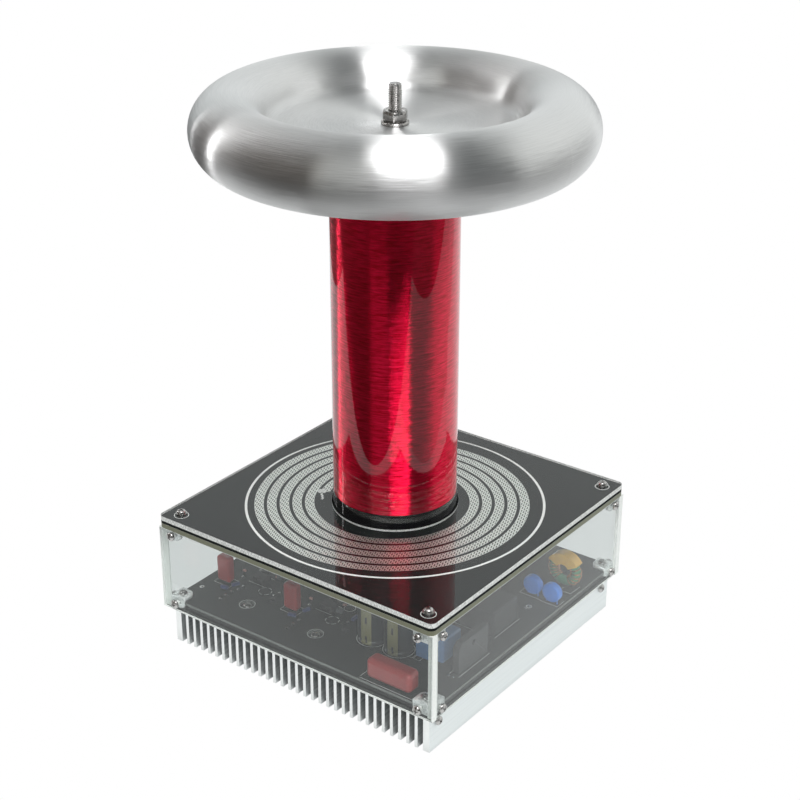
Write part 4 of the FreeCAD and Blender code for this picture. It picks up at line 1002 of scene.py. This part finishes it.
room = bpy.data.worlds.new("studio")
bpy.context.scene.world = room
room.use_nodes = True
room_tree = room.node_tree
way = add(room_tree, "ShaderNodeTexCoord").outputs["Generated"]


def towards(direction):
    """How far the ray points along a direction."""
    made = add(room_tree, "ShaderNodeVectorMath", {0: way, 1: direction}, operation="DOT_PRODUCT")
    return Number(made.outputs["Value"])


bearing = math_node("ARCTAN2", towards(to_right), towards(to_camera))
wall_stops = [(-180, (0.84, 0.87, 0.87)), (-150, (0.62, 0.65, 0.65)), (-142, (0.165, 0.15, 0.14)),
              (-46, (0.15, 0.135, 0.12)), (-43, (0.95, 0.94, 0.88)), (-38, (0.66, 0.67, 0.65)),
              (-15, (0.72, 0.73, 0.71)), (-12, (0.07, 0.07, 0.07)), (27, (0.06, 0.06, 0.06)),
              (32, (0.15, 0.16, 0.16)), (68, (0.17, 0.18, 0.18)), (74, (0.86, 0.88, 0.86)),
              (110, (0.98, 1.0, 0.98)), (180, (0.84, 0.87, 0.87))]
wall_shares = [((angle + 180) / 360, colour) for angle, colour in wall_stops]
walls = ramp(bearing / (2 * math.pi) + 0.5, *wall_shares)
above = ramp(towards((0, 0, 1)), (0.72, 0.0), (0.92, 1.0))
studio_colour = mixed(above, walls, (0.18, 0.19, 0.19))
sky = room_tree.nodes["Background"]
feed(sky.inputs["Color"], mixed(seen_directly(room_tree), studio_colour, (1, 1, 1)))

panel_height = 1.6
panel_corners = [to_camera * near + to_right * side + Vector((0, 0, panel_height))
                 for near, side in ((0.02, -0.15), (0.02, 0.27), (1.0, 0.60), (1.72, 0.90), (1.28, -0.26),
                                    (0.62, -0.17), (0.45, -0.22))]
panel_finish, _ = new_finish("lit_panel", Base_Color=(0, 0, 0), Emission_Color=(1, 1, 1),
                             Emission_Strength=6.2)
panel = flat_sheet("ceiling_panel", panel_corners, panel_finish)
panel.visible_camera = False
panel.visible_transmission = False


def panel_lamp(name, place, target, width, height, watts):
    lamp = bpy.data.lights.new(name, "AREA")
    lamp.shape = "RECTANGLE"
    lamp.size, lamp.size_y, lamp.energy = width, height, watts
    made = scene_object(name, lamp)
    made.location = place
    made.rotation_euler = (Vector(target) - Vector(place)).to_track_quat("-Z", "Y").to_euler()
    return made


strip_distance, strip_length = 1.3, 4.4
strip_middle = Vector((0, 0, 2.25))
for name, degrees, width, watts in (("back_strip", -113, 0.06, 8.4), ("thin_back_strip", -139, 0.03, 1.6)):
    behind = math.radians(degrees)
    way_out = to_camera * math.cos(behind) + to_right * math.sin(behind)
    place = way_out * strip_distance + strip_middle
    panel_lamp(name, place, strip_middle, width, strip_length, watts)
fill_lamp = panel_lamp("front_fill", to_camera * 1.4 + Vector((0, 0, 0.55)), (0, 0, 0.1), 1.1, 0.6, 7)
fill_lamp.visible_glossy = False

eye = bpy.data.cameras.new("camera")
eye.sensor_width = 36.0
eye.lens = 78.28
eye.shift_x, eye.shift_y = 0.0061, -0.0034
eye.clip_start, eye.clip_end = 0.05, 60
camera = scene_object("camera", eye)
back = Vector((0.54373, -0.72293, 0.42629))
lift = Vector((-0.25624, 0.34068, 0.90459))
camera.matrix_world = Matrix.Translation((0.56944, -0.75711, 0.60584)) @ Matrix(
    (to_right, lift, back)).transposed().to_4x4()
bpy.context.scene.camera = camera
bpy.context.scene.view_settings.view_transform = "Standard"
